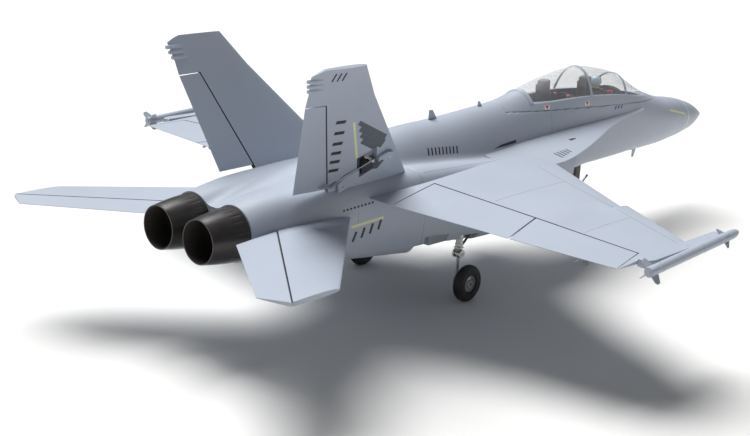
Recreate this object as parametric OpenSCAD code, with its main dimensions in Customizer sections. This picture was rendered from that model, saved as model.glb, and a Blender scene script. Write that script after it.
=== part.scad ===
// Radio-controlled model of a twin-seat, twin-tail jet with two ducted fans.
// Frame: X forward to the nose, Y to the port wing, Z up, wheels standing on Z = 0.

/* [Airframe] */
// Length from the nose tip to the tailplane tips
airframe_length = 1560; // [1300:10:1900]
// Distance between the outer faces of the two wing-tip rails
wing_span = 1066; // [900:2:1280]
// Slope of each wing down towards its tip, in degrees
anhedral = 2; // [0:0.5:4]
// Lean of each fin away from upright, in degrees
fin_cant = 20.9; // [10:0.5:30]
// Gap round the rounded nose of each control surface
hinge_gap = 0.8; // [0.6:0.1:1.5]
// Gap between a control surface and what it ends beside
end_gap = 1.5; // [1:0.1:3]
// Gap between the canopy hatch and the fuselage
seam_gap = 0.5; // [0.3:0.1:1]

/* [Ducted fans] */
// Inside diameter of each fan housing
fan_bore = 70; // [58:1:84]
// Wall of each fan housing
fan_wall = 1.5; // [1:0.1:2.5]
// Length of each fan housing
fan_length = 52; // [40:1:64]
// Distance between the two fan shafts
fan_pitch = 88; // [88:1:96]
// Gap between the rotor tips and the housing
rotor_tip_gap = 0.6; // [0.4:0.1:1.5]
// Blades on each rotor
blade_count = 12; // [5:1:12]
// Diameter of the motor shaft
shaft_d = 4; // [3:0.5:6]
// Wall of the thrust tubes
tube_wall = 0.6; // [0.4:0.1:1.2]
// Outside diameter of a nozzle at its rear rim
nozzle_rim_d = 67; // [56:1:72]
// Length of a nozzle
nozzle_length = 66; // [50:1:80]

/* [Landing gear] */
// Diameter of a main tyre
main_tyre_d = 63; // [52:1:76]
// Width of a main tyre
main_tyre_w = 19; // [15:1:22]
// Distance between the middles of the two main tyres
main_track = 240; // [230:1:250]
// Diameter of a nose tyre
nose_tyre_d = 47; // [39:1:54]
// Width of a nose tyre
nose_tyre_w = 11; // [8:0.5:13]
// Diameter of the wheel axles
axle_d = 4; // [3:0.5:5]
// Radial clearance of a wheel on its axle
wheel_fit = 0.06; // [0.02:0.01:0.1]
// Diameter of a main leg
leg_d = 12; // [10:0.5:14]

/* [Canopy] */
// Thickness of the clear canopy
glass_t = 1.2; // [0.8:0.1:2]
// Width of the canopy bows
bow_w = 7; // [5:0.5:10]
// Thickness of the moulded cockpit tub
tub_wall = 1.2; // [0.8:0.1:2]

/* [Fittings] */
// Diameter of the front wing spar tube
spar_d = 8; // [6:0.5:9]
// Diameter of a missile body
missile_d = 15; // [12:0.5:18]
// Diameter of the screws that hold the belly cover
screw_d = 3; // [2.5:0.5:4]
// Height of the battery
battery_h = 30; // [24:1:34]
// Length of a rudder servo arm between its centres
servo_arm = 15; // [13:0.5:17]
// Diameter of a rudder pushrod
rod_d = 1.6; // [1.2:0.1:2.2]

/* [Hidden] */
$fn = 48;

skin = [0.72, 0.75, 0.80];
dark = [0.12, 0.11, 0.11];
metal = [0.62, 0.62, 0.60];

stretch = airframe_length / 1560;
wing_root = 95;
spread = (wing_span / 2 - wing_root) / (533 - wing_root);
// Forward shift that puts the origin under the middle of the length
datum = 5;

// Fuselage core: x, bottom, widest height, top, half width, upper and lower roundness
CORE = [
    [-630, 158, 186, 216, 50, 2, 2], [-548, 146, 186, 236, 56, 2, 2],
    [-470, 130, 186, 250, 60, 2, 2.2], [-400, 115, 186, 262, 62, 2, 2.4],
    [-320, 104, 186, 274, 64, 2, 3], [-225, 97, 186, 285, 64, 2, 3.5],
    [-141, 96, 186, 288, 63, 2, 4], [-55, 97, 190, 293, 60, 2, 4],
    [43, 104, 200, 301, 56, 2, 3.6], [100, 112, 206, 313, 54, 2.1, 3.2],
    [180, 128, 212, 330, 53, 2.1, 2.8], [271, 143, 217, 339, 52, 2.1, 2.6],
    [340, 145, 217, 331, 52, 2.1, 2.5], [403, 146, 215, 315, 51.5, 2.1, 2.4],
    [460, 148, 211, 288, 50, 2.1, 2.3], [513, 148, 207, 266, 47.5, 2.1, 2.2],
    [577, 149, 203, 248, 43.5, 2.1, 2.1], [619, 152, 200, 242, 39.5, 2, 2],
    [652, 155, 197, 236, 35.5, 2, 2], [690, 160.5, 193.5, 226.5, 29.5, 2, 2],
    [713, 165, 192, 219, 25, 2, 2], [740, 173, 190, 207.5, 16, 2, 2],
    [760, 180.5, 188.5, 197, 8, 2, 2], [770, 184.5, 187.5, 191, 3.4, 2, 2],
    [775, 186.2, 187.2, 188.2, 1, 2, 2]];

// Duct trunk beside the core: x, distance from the middle, half width, bottom,
// widest height, top, roundness
TRUNK = [
    [-630, 44, 43, 143, 186, 229, 2], [-590, 45, 44.5, 136, 186, 235, 2.2],
    [-548, 46.5, 46, 128, 186, 239, 2.4], [-470, 50, 48, 117, 183, 241, 2.6],
    [-400, 54, 49, 108, 177, 242, 2.8], [-320, 59, 50, 101, 170, 241, 3],
    [-265, 62, 49.5, 96, 166, 238, 3.2], [-160, 66, 47, 94, 162, 231, 3.5],
    [-85, 70, 43, 94, 160, 225, 4], [20, 77, 36, 95, 158, 222, 4.5],
    [100, 81, 32, 97, 157, 219, 5], [170, 84, 29, 100, 157, 216, 5]];

// Air passage inside the trunk: x, distance from the middle, height, half width,
// half height, roundness
DUCT = [
    [-190, 44, 186, 36, 36, 2], [-130, 52, 181, 34, 37, 2.2],
    [-40, 66, 169, 31, 41, 3], [60, 78, 160, 28, 48, 4], [180, 84, 158, 25, 53, 5]];

// Height of the hatch seam and of the canopy sill: x, seam, sill
SEAM = [[20, 285, 300], [100, 280, 292], [250, 271, 290], [340, 265, 284],
    [403, 261, 277], [460, 257, 268], [520, 253, 261]];

// Leading-edge strake: x, outer edge from the middle, height inside, height outside, half depth inside
STRAKE = [
    [-70, 116, 222, 219, 6], [-30, 130, 223, 216, 6.5], [10, 143, 225, 215, 6.5],
        [40, 147, 227, 216.5, 6.5],
    [68, 146, 229, 218.5, 6], [110, 138, 231, 222, 6], [158, 125, 233, 225.5, 5.5],
    [220, 105, 235.5, 229.5, 5], [285, 82, 238, 233, 4.5], [340, 68, 240.5, 237, 4], [400, 58, 243, 241, 3],
    [455, 51, 245, 244, 2]];

// Flying surfaces, in each one's own plane with its hinge on the local Y axis.
// Rows: place along the hinge, leading edge ahead of it and its place,
// trailing edge behind it and its place, greatest depth
WING = [[95, 324, 95, 133, 95, 21], [355.2, 181, 355.2, 94.8, 355.2, 14.5],
    [356, 196, 356, 94.6, 356, 14.5], [513, 113.5, 513, 71.4, 513, 9]];
FIN = [[-8.7, 170.3, -82.2, 62.5, 18, 13], [170.5, 95.5, 134, 34.6, 184.8, 8.5],
    [235, 78.2, 201.5, 22.8, 245, 6.5]];
TAIL = [[-10, 123, -107.7, 60.3, 39, 12.5], [278.5, 68.2, 219.7, 42.8, 258, 7]];

wing_hinge_x = -268;
wing_root_z = 217.7;
fin_at = [-481, 80, 238];
fin_sweep = 23.3;
tail_at = [-588, 90, 190];
tail_sweep = 39.5;
tail_anhedral = 1.5;

flap_in = 117;
// The wall beside the flap bulges a little near the hinge, so it stands back twice the gap there
flap_wall = flap_in - 2 * end_gap;
flap_out = 315;
aileron_out = 497;
// Rearward slant of the ends of the flaps and ailerons, across the span
end_slant = 27;

nose_joint_x = 640;
front_joint_x = 140;
rear_joint_x = -280;
tail_end_x = -630;
hatch_rear_x = 26;
hatch_front_x = 520;
glass_rear_x = 96;
glass_front_x = 508;

fan_x = -192;
fan_z = 186;
fan_y = fan_pitch / 2;
fan_d = fan_bore + 2 * fan_wall;
motor_d = 28;
motor_length = 34;
stator_hub_d = 31;
tube_d = fan_bore + 2 * tube_wall;
nozzle_front_d = tube_d + 8.8;

main_pivot = [-166, 97, 118];
main_knuckle_z = 78;
main_fold_tilt = 20;
trunnion_l = 16;
main_axle_z = main_tyre_d / 2;
nose_pivot = [310, 0, 154];
nose_axle_z = nose_tyre_d / 2;
nose_axle_half = 7.5 + nose_tyre_w;
nose_leg_d = 9;

servo_ly = 15.6;
servo_lx = 83;
servo_arm_w = 5;

function X(x) = (x + datum) * stretch;
// Only what lies outboard of the wing root moves with the span
function outboard(v, k) = v <= wing_root ? v : wing_root + (v - wing_root) * k;
function Y(y) = outboard(y, spread);

// Smooth value of every column of table t at place x
function row(t, x, i = 0) = i >= len(t) - 2 || x <= t[i + 1][0] ? i : row(t, x, i + 1);
function slope(t, i, k) = let(a = max(0, i - 1), b = min(len(t) - 1, i + 1))
    (t[b][k] - t[a][k]) / (t[b][0] - t[a][0]);
function at(t, x) = let(i = row(t, x), h = t[i + 1][0] - t[i][0], u = (x - t[i][0]) / h,
    v = min(1, max(0, u)))
    [for (k = [0:len(t[0]) - 1]) k == 0 ? x :
        t[i][k] * (2 * v * v * v - 3 * v * v + 1) + slope(t, i, k) * h * (v * v * v - 2 * v * v + v)
        + t[i + 1][k] * (3 * v * v - 2 * v * v * v) + slope(t, i + 1, k) * h * (v * v * v - v * v)];
// Straight-line value of every column of table t at place x
function line(t, x) = let(i = row(t, x), u = (x - t[i][0]) / (t[i + 1][0] - t[i][0]))
    [for (k = [0:len(t[0]) - 1]) t[i][k] + u * (t[i + 1][k] - t[i][k])];
function steps(a, b, n) = [for (i = [0:n]) a + (b - a) * i / n];

function arm(c, n) = sign(c) * pow(abs(c), 2 / n);
function core_yz(r, a, inset = 0) = let(up = sin(a) >= 0, n = up ? r[5] : r[6],
    reach = up ? r[3] - r[2] : r[2] - r[1])
    [(r[4] - inset) * arm(cos(a), n), r[2] + (reach - inset) * arm(sin(a), n)];
function core_angle(r, z, inset = 0) =
    asin(pow(min(1, max(0, (z - r[2]) / (r[3] - r[2] - inset))), r[5] / 2));
function trunk_yz(r, a) = let(up = sin(a) >= 0)
    [r[1] + r[2] * arm(cos(a), r[6]), r[4] + (up ? r[5] - r[4] : r[4] - r[3]) * arm(sin(a), r[6])];
function duct_yz(r, a) = [r[1] + r[3] * arm(cos(a), r[5]), r[2] + r[4] * arm(sin(a), r[5])];

// Solid through rings of equal length, each running anticlockwise seen from the last ring
module loft(rings) {
    n = len(rings[0]);
    m = len(rings);
    polyhedron(
        points = [for (ring = rings) each ring],
        faces = [
            for (j = [0:m - 2], i = [0:n - 1]) each let(k = (i + 1) % n, p = j * n, q = p + n)
                [[p + i, q + i, q + k], [p + i, q + k, p + k]],
            for (i = [1:n - 2]) [0, i, i + 1],
            for (i = [1:n - 2]) let(p = (m - 1) * n) [p, p + i + 1, p + i]]);
}

// The same for rings that are thin strips: outer points, then inner points in reverse
module strip_loft(rings) {
    n = len(rings[0]);
    m = len(rings);
    last = (m - 1) * n;
    polyhedron(
        points = [for (ring = rings) each ring],
        faces = [
            for (j = [0:m - 2], i = [0:n - 1]) each let(k = (i + 1) % n, p = j * n, q = p + n)
                [[p + i, q + i, q + k], [p + i, q + k, p + k]],
            for (i = [0:n / 2 - 2]) each [[i, i + 1, n - 2 - i], [i, n - 2 - i, n - 1 - i]],
            for (i = [0:n / 2 - 2]) each [[last + i + 1, last + i, last + n - 2 - i],
                [last + n - 2 - i, last + i, last + n - 1 - i]]]);
}

// One moulded piece: merges everything inside it into a single skin
module moulded() resize([0, 0, 0]) children();
module both_sides() {
    children();
    mirror([0, 1, 0]) children();
}
module right_side() mirror([0, 1, 0]) children();

// Closed bar between two points
module bar(a, b, d) {
    v = b - a;
    translate(a) rotate([0, acos(v[2] / norm(v)), atan2(v[1], v[0])])
        cylinder(d = d, h = norm(v));
}

module core_loft(x0, x1, n, sides = 40) loft([for (x = steps(x0, x1, n)) let(r = at(CORE, x))
    [for (i = [0:sides - 1]) let(p = core_yz(r, i * 360 / sides)) [X(x), p[0], p[1]]]]);
module trunk_loft(x0, x1, n, sides = 32) loft([for (x = steps(x0, x1, n)) let(r = at(TRUNK, x))
    [for (i = [0:sides - 1]) let(p = trunk_yz(r, i * 360 / sides)) [X(x), p[0], p[1]]]]);
module duct_loft(x0, x1, n, sides = 32) loft([for (x = steps(x0, x1, n)) let(r = at(DUCT, x))
    [for (i = [0:sides - 1]) let(p = duct_yz(r, i * 360 / sides)) [X(x), p[0], p[1]]]]);
// Part of the core between two heights given by columns of SEAM; edge 9 means the core's own end
module core_slice(x0, x1, n, low, high, sides) loft([for (x = steps(x0, x1, n))
    let(r = at(CORE, x), s = at(SEAM, x),
        a0 = low == 9 ? -90 : core_angle(r, s[low] + (low == 1 ? seam_gap : 0)),
        a1 = high == 9 ? 90 : core_angle(r, s[high]))
    [for (i = [0:sides]) let(p = core_yz(r, a0 + (a1 - a0) * i / sides)) if (i > 0 || low != 9)
        [X(x), p[0], p[1]],
     for (i = [sides:-1:0]) let(p = core_yz(r, 180 - a0 - (a1 - a0) * i / sides))
        if (i < sides || high != 9) [X(x), p[0], p[1]]]]);
// Thin curved strip of the core's skin above the sill, lying from out to out - t
module skin_strip(x0, x1, n, out, t, lean = 0, sides = 20, drop = 0) strip_loft([for (x = steps(x0, x1, n))
    let(r0 = at(CORE, x), s = at(SEAM, x))
    [for (i = [0:sides]) let(a = core_angle(r0, s[2] - drop), b = a + (180 - 2 * a) * i / sides,
        r = at(CORE, x + lean * sin(b)), c = core_angle(r, s[2] - drop), e = c + (180 - 2 * c) * i / sides,
        p = core_yz(r, e, -out)) [X(x + lean * sin(b)), p[0], p[1]],
     for (i = [sides:-1:0]) let(a = core_angle(r0, s[2] - drop), b = a + (180 - 2 * a) * i / sides,
        r = at(CORE, x + lean * sin(b)), c = core_angle(r, s[2] - drop), e = c + (180 - 2 * c) * i / sides,
        p = core_yz(r, e, t - out)) [X(x + lean * sin(b)), p[0], p[1]]]]);

// Half depth of a section at fraction c of its chord
function foil(c, t) = 0.35 + 5 * t * (0.2969 * sqrt(c) - 0.126 * c - 0.3516 * c * c
    + 0.2843 * c * c * c - 0.1036 * c * c * c * c);
function depth(r, lx) = foil(min(1, max(0, (r[1] - lx) / (r[1] + r[3]))), r[5]);
// Point of a surface at distance lx ahead of the hinge, on the ring r
function on_ring(r, lx, z, ky) = [lx, outboard(lx >= 0 ? r[0] + (r[2] - r[0]) * lx / r[1]
    : r[0] + (r[4] - r[0]) * -lx / r[3], ky), z];

// Fixed part of a surface, from its leading edge to the hollow that the hinge lies in
function fixed_ring(r, ky) = let(h = depth(r, 0), g = h + hinge_gap, lip = asin(h / g),
    edge = g * cos(lip), n = 12)
    [on_ring(r, r[1], 0, ky),
     for (i = [1:n]) let(u = i / n, lx = r[1] + (edge - r[1]) * u * u)
         on_ring(r, lx, depth(r, max(lx, edge)), ky),
     for (i = [1:7]) let(a = lip - lip * i / 4) on_ring(r, g * cos(a), g * sin(a), ky),
     for (i = [n:-1:1]) let(u = i / n, lx = r[1] + (edge - r[1]) * u * u)
         on_ring(r, lx, -depth(r, max(lx, edge)), ky)];
// Moving part of a surface, from its rounded nose on the hinge to its trailing edge
function moving_ring(r, ky) = let(h = depth(r, 0), n = 6)
    [on_ring(r, -r[3], 0.35, ky),
     for (i = [n - 1:-1:1]) let(lx = -r[3] * i / n) on_ring(r, lx, depth(r, lx), ky),
     for (i = [0:8]) let(a = 90 - 180 * i / 8) on_ring(r, h * cos(a), h * sin(a), ky),
     for (i = [1:n - 1]) let(lx = -r[3] * i / n) on_ring(r, lx, -depth(r, lx), ky),
     on_ring(r, -r[3], -0.35, ky)];
// Fixed part carried on to its trailing edge, with as many points as fixed_ring
function full_ring(r, ky) = let(h = depth(r, 0), edge = (h + hinge_gap) * cos(asin(h / (h + hinge_gap))),
    n = 12, te = 0.35)
    [on_ring(r, r[1], 0, ky),
     for (i = [1:n]) let(u = i / n, lx = r[1] + (edge - r[1]) * u * u)
         on_ring(r, lx, depth(r, max(lx, edge)), ky),
     for (i = [1:2]) let(lx = -r[3] * i / 3) on_ring(r, lx, depth(r, lx), ky),
     for (z = [te, 0, -te]) on_ring(r, -r[3], z, ky),
     for (i = [2:-1:1]) let(lx = -r[3] * i / 3) on_ring(r, lx, -depth(r, lx), ky),
     for (i = [n:-1:1]) let(u = i / n, lx = r[1] + (edge - r[1]) * u * u)
         on_ring(r, lx, -depth(r, max(lx, edge)), ky)];
function slanted(r, v, wt) = [v, r[1], r[2], r[3], wt, r[5]];

// These rings run clockwise seen from the tip, so such a panel is lofted from its tip inwards
function inwards(rings) = [for (i = [len(rings) - 1:-1:0]) rings[i]];
module fixed_panel(t, places, ky = 1) loft(inwards([for (v = places) fixed_ring(line(t, v), ky)]));
// Fixed part that reaches its trailing edge inboard of, or outboard of, the moving parts
module whole_panel(t, first, places, last, ky = 1) loft(inwards([
    for (r = first) full_ring(r, ky), for (v = places) fixed_ring(line(t, v), ky), for (r = last)
        full_ring(r, ky)]));
module moving_panel(rings, ky = 1) loft([for (r = rings) moving_ring(r, ky)]);

module wing_plane() translate([X(wing_hinge_x), 0, wing_root_z]) rotate([-anhedral, 0, 0]) children();
module fin_plane() translate([X(fin_at[0]), fin_at[1], fin_at[2]])
    rotate([90 - fin_cant, 0, 0]) rotate([0, 0, fin_sweep]) children();
module tail_plane() translate([X(tail_at[0]), tail_at[1], tail_at[2]])
    rotate([-tail_anhedral, 0, 0]) rotate([0, 0, tail_sweep]) children();

// ---- Fuselage ----

module nose_cone() color(skin) core_loft(nose_joint_x, 775, 14, 36);

module forward_fuselage() color(skin) moulded() difference() {
    union() {
        core_loft(hatch_front_x, nose_joint_x - 0.01, 7, 32);
        core_slice(front_joint_x, hatch_front_x + 0.01, 12, 9, 1, 16);
    }
    // Battery tray, and the wider space above it that the cockpit tub hangs in
    translate([X(front_joint_x) - 1, -30, tray_z]) cube([X(480) - X(front_joint_x), 60, 100]);
    translate([0, 0, tub_floor - 1]) cockpit_opening(1.5);
    // Well that the nose gear folds into, with room above for the launch bar
    translate([nose_bay_rear, -nose_bay_half, 100])
        cube([nose_bay_front - nose_bay_rear, 2 * nose_bay_half, tray_z - 105]);
    translate([X(nose_pivot[0]) + 12, -24, 150]) cube([52, 48, 66]);
    // Seat of the nose retract unit
    translate([X(nose_pivot[0]) - 63, -15, nose_pivot[2] - 5]) cube([50, 30, 18]);
}

nose_swing = nose_pivot[2] - nose_axle_z;
nose_bay_rear = X(nose_pivot[0]) - 16;
nose_bay_front = X(nose_pivot[0]) + nose_swing + nose_tyre_d / 2 + 5;
nose_bay_half = nose_axle_half + 11;
tray_z = 204;

module centre_fuselage() color(skin) moulded() difference() {
    union() {
        core_loft(rear_joint_x, hatch_rear_x - seam_gap, 7, 32);
        core_slice(hatch_rear_x - seam_gap - 0.01, front_joint_x - 0.01, 4, 9, 1, 16);
        both_sides() trunk_loft(rear_joint_x, 60, 9, 24);
    }
    both_sides() {
        duct_loft(-190.5, 61, 7, 20);
        // Seat of the fan housing, then the thrust tube
        translate([X(fan_x) - fan_length - 0.3, fan_y, fan_z]) rotate([0, 90, 0])
            cylinder(d = fan_d + 0.8, h = fan_length + 3);
        translate([X(rear_joint_x) - 1, fan_y, fan_z]) rotate([0, 90, 0])
            cylinder(d = tube_d + 1, h = X(fan_x) - fan_length - X(rear_joint_x) + 2);
        main_well();
        spar_hole(spar_rear_x, spar_d - 2);
        spar_hole(spar_front_x, spar_d);
    }
    // Flat that the belly cover lies in
    translate([X(-275), -belly_half, 80]) cube([X(-150) - X(-275), 2 * belly_half, belly_z - 80]);
    // Electronics bay above the belly cover
    translate([X(-130), -14, 110]) cube([X(130) - X(-130), 28, 44]);
    translate([X(40), -30, 235]) cube([X(141) - X(40), 60, 60]);
    translate([0, 0, tub_floor - 1]) cockpit_opening(1.5);
}

belly_z = 98;
belly_half = 58;
spar_front_x = -140;
spar_rear_x = -222;

// Well for the folded main wheel, kept inside the side wall of the nacelle
module main_well() translate([X(main_pivot[0]), main_pivot[1], main_pivot[2]]) {
    aft_end = -main_swing - main_tyre_d / 2 - 8;
    // Floor opening, then a higher roof for the travel of the sprung link
    translate([aft_end, -36, -60]) cube([-aft_end - 50, 44, 60 + 34]);
    translate([aft_end, -28, -60]) cube([-aft_end - 50, 36, 60 + main_roof]);
    // Scallop that the tyre's outer shoulder swings through
    translate([-106, 8, -60]) cube([60, 5, 60 + 11]);
    // Slot for the link and the leg, and the space round the trunnion
    translate([-main_swing, -26, -60]) cube([main_swing + 14, 34, 60 + 14]);
    translate([-16, -16, -60]) cube([52, 27, 60 + 13]);
    // Seat of the retract unit
    translate([8, -15, 1]) cube([41, 26, 19]);
}
main_swing = main_pivot[2] - main_axle_z;
main_roof = 39;

module spar_hole(x, d) wing_plane() translate([X(x) - X(wing_hinge_x), 88, 0]) rotate([-90, 0, 0])
    cylinder(d = d + 0.2, h = Y(300) - 88 + 0.5);

module aft_fuselage() color(skin) moulded() difference() {
    union() {
        core_loft(tail_end_x, rear_joint_x - 0.01, 9, 32);
        both_sides() trunk_loft(tail_end_x, rear_joint_x - 0.01, 10, 28);
    }
    both_sides() {
        translate([X(tail_end_x) - 1, fan_y, fan_z]) rotate([0, 90, 0])
            cylinder(d = tube_d + 1, h = X(rear_joint_x) - X(tail_end_x) + 2);
        main_well();
    }
}

module strake() loft([for (x = steps(-70, 455, 20)) let(s = at(STRAKE, x), y0 = 38, y1 = max(Y(s[1]), 40),
    ym = y0 + 0.5 * (y1 - y0))
    [[X(x), y1, s[3] - 0.5], [X(x), y1, s[3] + 0.5], [X(x), ym, (s[2] + s[3]) / 2 + s[4] * 0.62],
     [X(x), y0, s[2] + s[4]], [X(x), y0, s[2] - s[4]], [X(x), ym, (s[2] + s[3]) / 2 - s[4] * 0.62]]]);
module lerx_strakes() color(skin) both_sides() strake();

module intake_ducts() color(skin) both_sides() moulded() difference() {
    trunk_loft(60.01, 165, 5, 24);
    duct_loft(59, 180, 6, 20);
    // Raked mouth: the upper lip stands ahead of the lower one
    translate([X(165), 0, 222]) rotate([0, 14, 0]) translate([-22, 0, -200]) cube([80, 160, 240]);
}

module belly_cover() color(skin) difference() {
    translate([X(-275) + 0.5, -belly_half + 0.5, belly_z - 3.3])
        cube([X(-150) - X(-275) - 1, 2 * belly_half - 1, 3]);
    for (p = cover_screw_places()) translate([p[0], p[1], belly_z - 5]) {
        cylinder(d = screw_d + 0.4, h = 6);
        cylinder(d = screw_d * 1.8 + 0.4, h = 3.6);
    }
    for (x = [X(-250), X(-225), X(-200)]) translate([x, -30, belly_z - 5]) cube([8, 60, 6]);
}
function cover_screw_places() = [for (x = [X(-268), X(-157)], y = [-belly_half + 8, belly_half - 8])
    [x, y]];
module cover_screws() color(metal) for (p = cover_screw_places()) translate([p[0], p[1], belly_z - 3.3]) {
    translate([0, 0, 0.2]) cylinder(d = screw_d * 1.8, h = 1.6);
    translate([0, 0, 1.8]) cylinder(d = screw_d, h = 8.2);
}

// ---- Wings ----

function flap_rings() = [
    slanted(line(WING, flap_in), flap_in, flap_in + end_slant),
    slanted(line(WING, (flap_in + flap_out) / 2), (flap_in + flap_out) / 2,
        (flap_in + flap_out + 2 * end_slant) / 2),
    slanted(line(WING, flap_out), flap_out, flap_out + end_slant)];
function aileron_rings() = let(a = flap_out + 2 * end_gap) [
    slanted(line(WING, a), a, a + end_slant),
    slanted(line(WING, 405), 405, 405 + end_slant * 0.75),
    slanted(line(WING, aileron_out), aileron_out, 510.5)];

module wing() moulded() difference() {
    whole_panel(WING,
        [line(WING, 95), slanted(line(WING, flap_wall), flap_wall, flap_in + end_slant - end_gap)],
        [flap_wall + 0.1, 160, 210, 260, 310, 355.2, 356, 410, 460, aileron_out + end_gap - 0.1],
        [slanted(line(WING, aileron_out + end_gap), aileron_out + end_gap, 511.8), line(WING, 513)],
            spread);
    for (s = [[spar_front_x, spar_d], [spar_rear_x, spar_d - 2]])
        translate([X(s[0]) - X(wing_hinge_x), 88, 0]) rotate([-90, 0, 0])
            cylinder(d = s[1] + 0.2, h = Y(300) - 87.5);
}
module wing_left() color(skin) wing_plane() wing();
module wing_right() color(skin) right_side() wing_plane() wing();
module flap_left() color(skin) wing_plane() moving_panel(flap_rings(), spread);
module flap_right() color(skin) right_side() wing_plane() moving_panel(flap_rings(), spread);
module aileron_left() color(skin) wing_plane() moving_panel(aileron_rings(), spread);
module aileron_right() color(skin) right_side() wing_plane() moving_panel(aileron_rings(), spread);

module spar_tubes() color(dark) both_sides() wing_plane()
    for (s = [[spar_front_x, spar_d], [spar_rear_x, spar_d - 2]])
    translate([X(s[0]) - X(wing_hinge_x), 88, 0]) rotate([-90, 0, 0]) difference() {
        cylinder(d = s[1], h = Y(300) - 88);
        translate([0, 0, -1]) cylinder(d = s[1] - 2, h = Y(300) - 86);
    }

// Rail beside the wing tip, in the wing's own plane
module tip_rail() translate([0, Y(513), 0]) {
    linear_extrude(height = 13, center = true)
        polygon([[-24, 0], [-24, 16], [-12, 20], [182, 20], [200, 12], [186, 0]]);
    translate([-8, 19.5, -3]) cube([170, 6, 6]);
}
module tip_rails() color(skin) both_sides() wing_plane() tip_rail();

// Missile along +X from its tail at the origin
module missile(length, d, fin, nose_fin) {
    rotate([0, 90, 0]) rotate_extrude() polygon([[0, 0], [d / 2, 0], [d / 2, length - 1.6 * d],
        [d * 0.46, length - d], [d * 0.34, length - 0.45 * d], [d * 0.16, length - 0.1 * d], [0, length]]);
    for (a = [45:90:315]) rotate([a, 0, 0]) {
        translate([0, 0, -0.6]) linear_extrude(height = 1.2)
            polygon([[2, 0], [2, d / 2 + fin * 0.75], [5, d / 2 + fin], [fin * 0.9, d / 2 + fin],
                [fin * 1.5, d / 2], [fin * 1.5, 0]]);
        translate([length - 3.2 * d, 0, -0.6]) linear_extrude(height = 1.2)
            polygon([[0, 0], [0, d / 2 + nose_fin], [3, d / 2 + nose_fin], [nose_fin * 1.5, d / 2],
                [nose_fin * 1.5, 0]]);
    }
}
tip_missile_length = 250;
module tip_missiles() color(skin) both_sides() wing_plane()
    translate([-50, Y(513) + 25.5 + missile_d / 2, 0]) rotate([0, -3, 0])
        missile(tip_missile_length, missile_d, 13, 9);

// Stores under each wing: place along the span, pylon front ahead of the hinge, depth of the pylon
STORES = [[225, 128, 18], [320, 110, 16], [415, 92, 14]];
pylon_l = 96;
pylon_w = 6;
// Height of a pylon's top in the wing, below the spar tubes
pylon_top = -3.6;
module wing_pylons() color(skin) both_sides() wing_plane() for (s = STORES)
    translate([s[1] - 80, Y(s[0]) - pylon_w / 2, pylon_top - s[2]]) rotate([-90, 0, 0]) mirror([0, 1, 0])
        linear_extrude(height = pylon_w)
            polygon([[10, 0], [0, 6], [0, s[2]], [80, s[2]], [pylon_l, s[2] - 8], [84, 0]]);
module wing_missiles() color(skin) both_sides() wing_plane() for (s = STORES)
    translate([s[1] - 112, Y(s[0]), pylon_top - s[2] - 5.8]) missile(155, 12, 10, 7);

// ---- Tail ----

rudder_foot = 2;
rudder_top = 169;
module fin() {
    whole_panel(FIN, [], [-8.7, 40, 100, rudder_top + end_gap - 0.1],
        [slanted(line(FIN, rudder_top + end_gap), rudder_top + end_gap, rudder_top + end_gap + 14),
            line(FIN, 204), line(FIN, 235)]);
    // Root fairing plate
    translate([18, -14, -11]) cube([112, 24, 5]);
    // Tip pods behind the trailing edge
    for (v = [204, 213, 222]) translate([-30, v + 8, 0]) rotate([0, 90, -fin_sweep])
        cylinder(d = 6, h = 30);
}
module servo_pocket() translate([servo_lx - 24, servo_ly - 22, -13]) cube([40, 36, 17]);
module fin_piece() moulded() difference() {
    fin();
    servo_pocket();
}
module fin_left() color(skin) fin_plane() fin_piece();
module fin_right() color(skin) right_side() fin_plane() fin_piece();

function rudder_rings() = [
    slanted(line(FIN, rudder_foot), rudder_foot, rudder_foot + 25),
    slanted(line(FIN, 85), 85, 104),
    slanted(line(FIN, rudder_top), rudder_top, rudder_top + 14)];
module rudder() moulded() difference() {
    union() {
        moving_panel(rudder_rings());
        // Control horn: a plate standing out on the hinge line
        translate([0, servo_ly - servo_arm_w / 2 + 1.8, 0]) rotate([-90, 0, 0]) linear_extrude(height = 1.6)
            polygon([[-16, 1], [-5, 1], [4, servo_arm + 2.5], [-3, servo_arm + 3], [-16, 7]]);
    }
    translate([0, servo_ly - 6, -servo_arm]) rotate([-90, 0, 0])
        cylinder(d = rod_d + 0.2, h = 12, $fn = 24);
}
module rudder_left() color(skin) fin_plane() rudder();
module rudder_right() color(skin) right_side() fin_plane() rudder();

// Servo arm: turns on the servo's shaft, which stands along the hinge direction
module rudder_arm() difference() {
    translate([servo_lx, servo_ly - servo_arm_w / 2, 0]) rotate([-90, 0, 0]) {
        cylinder(d = 7, h = servo_arm_w - 1);
        translate([-2, 0, 1.8]) cube([4, servo_arm, 1.6]);
        translate([0, servo_arm, 1.8]) cylinder(d = 4, h = 1.6);
    }
    translate([servo_lx, servo_ly - 6, -servo_arm]) rotate([-90, 0, 0])
        cylinder(d = rod_d + 0.1, h = 12, $fn = 24);
}
module rudder_rod() {
    bar([servo_lx - 3, servo_ly + 3.2, -servo_arm], [10, servo_ly + 3.2, -servo_arm], rod_d);
    // A pin through the servo arm, and one through the rudder's horn
    for (x = [0, servo_lx]) translate([x, servo_ly - 2, -servo_arm]) rotate([-90, 0, 0])
        cylinder(d = rod_d, h = 5.5, $fn = 24);
    translate([servo_lx - 4, servo_ly + 2, -servo_arm - 1.5]) cube([6, 2.4, 3]);
    translate([-3, servo_ly + 2, -servo_arm - 2]) cube([14, 2.4, 4]);
}
module rudder_arm_left() color("white") fin_plane() rudder_arm();
module rudder_arm_right() color("white") right_side() fin_plane() rudder_arm();
module rudder_rod_left() color(metal) fin_plane() rudder_rod();
module rudder_rod_right() color(metal) right_side() fin_plane() rudder_rod();

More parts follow.
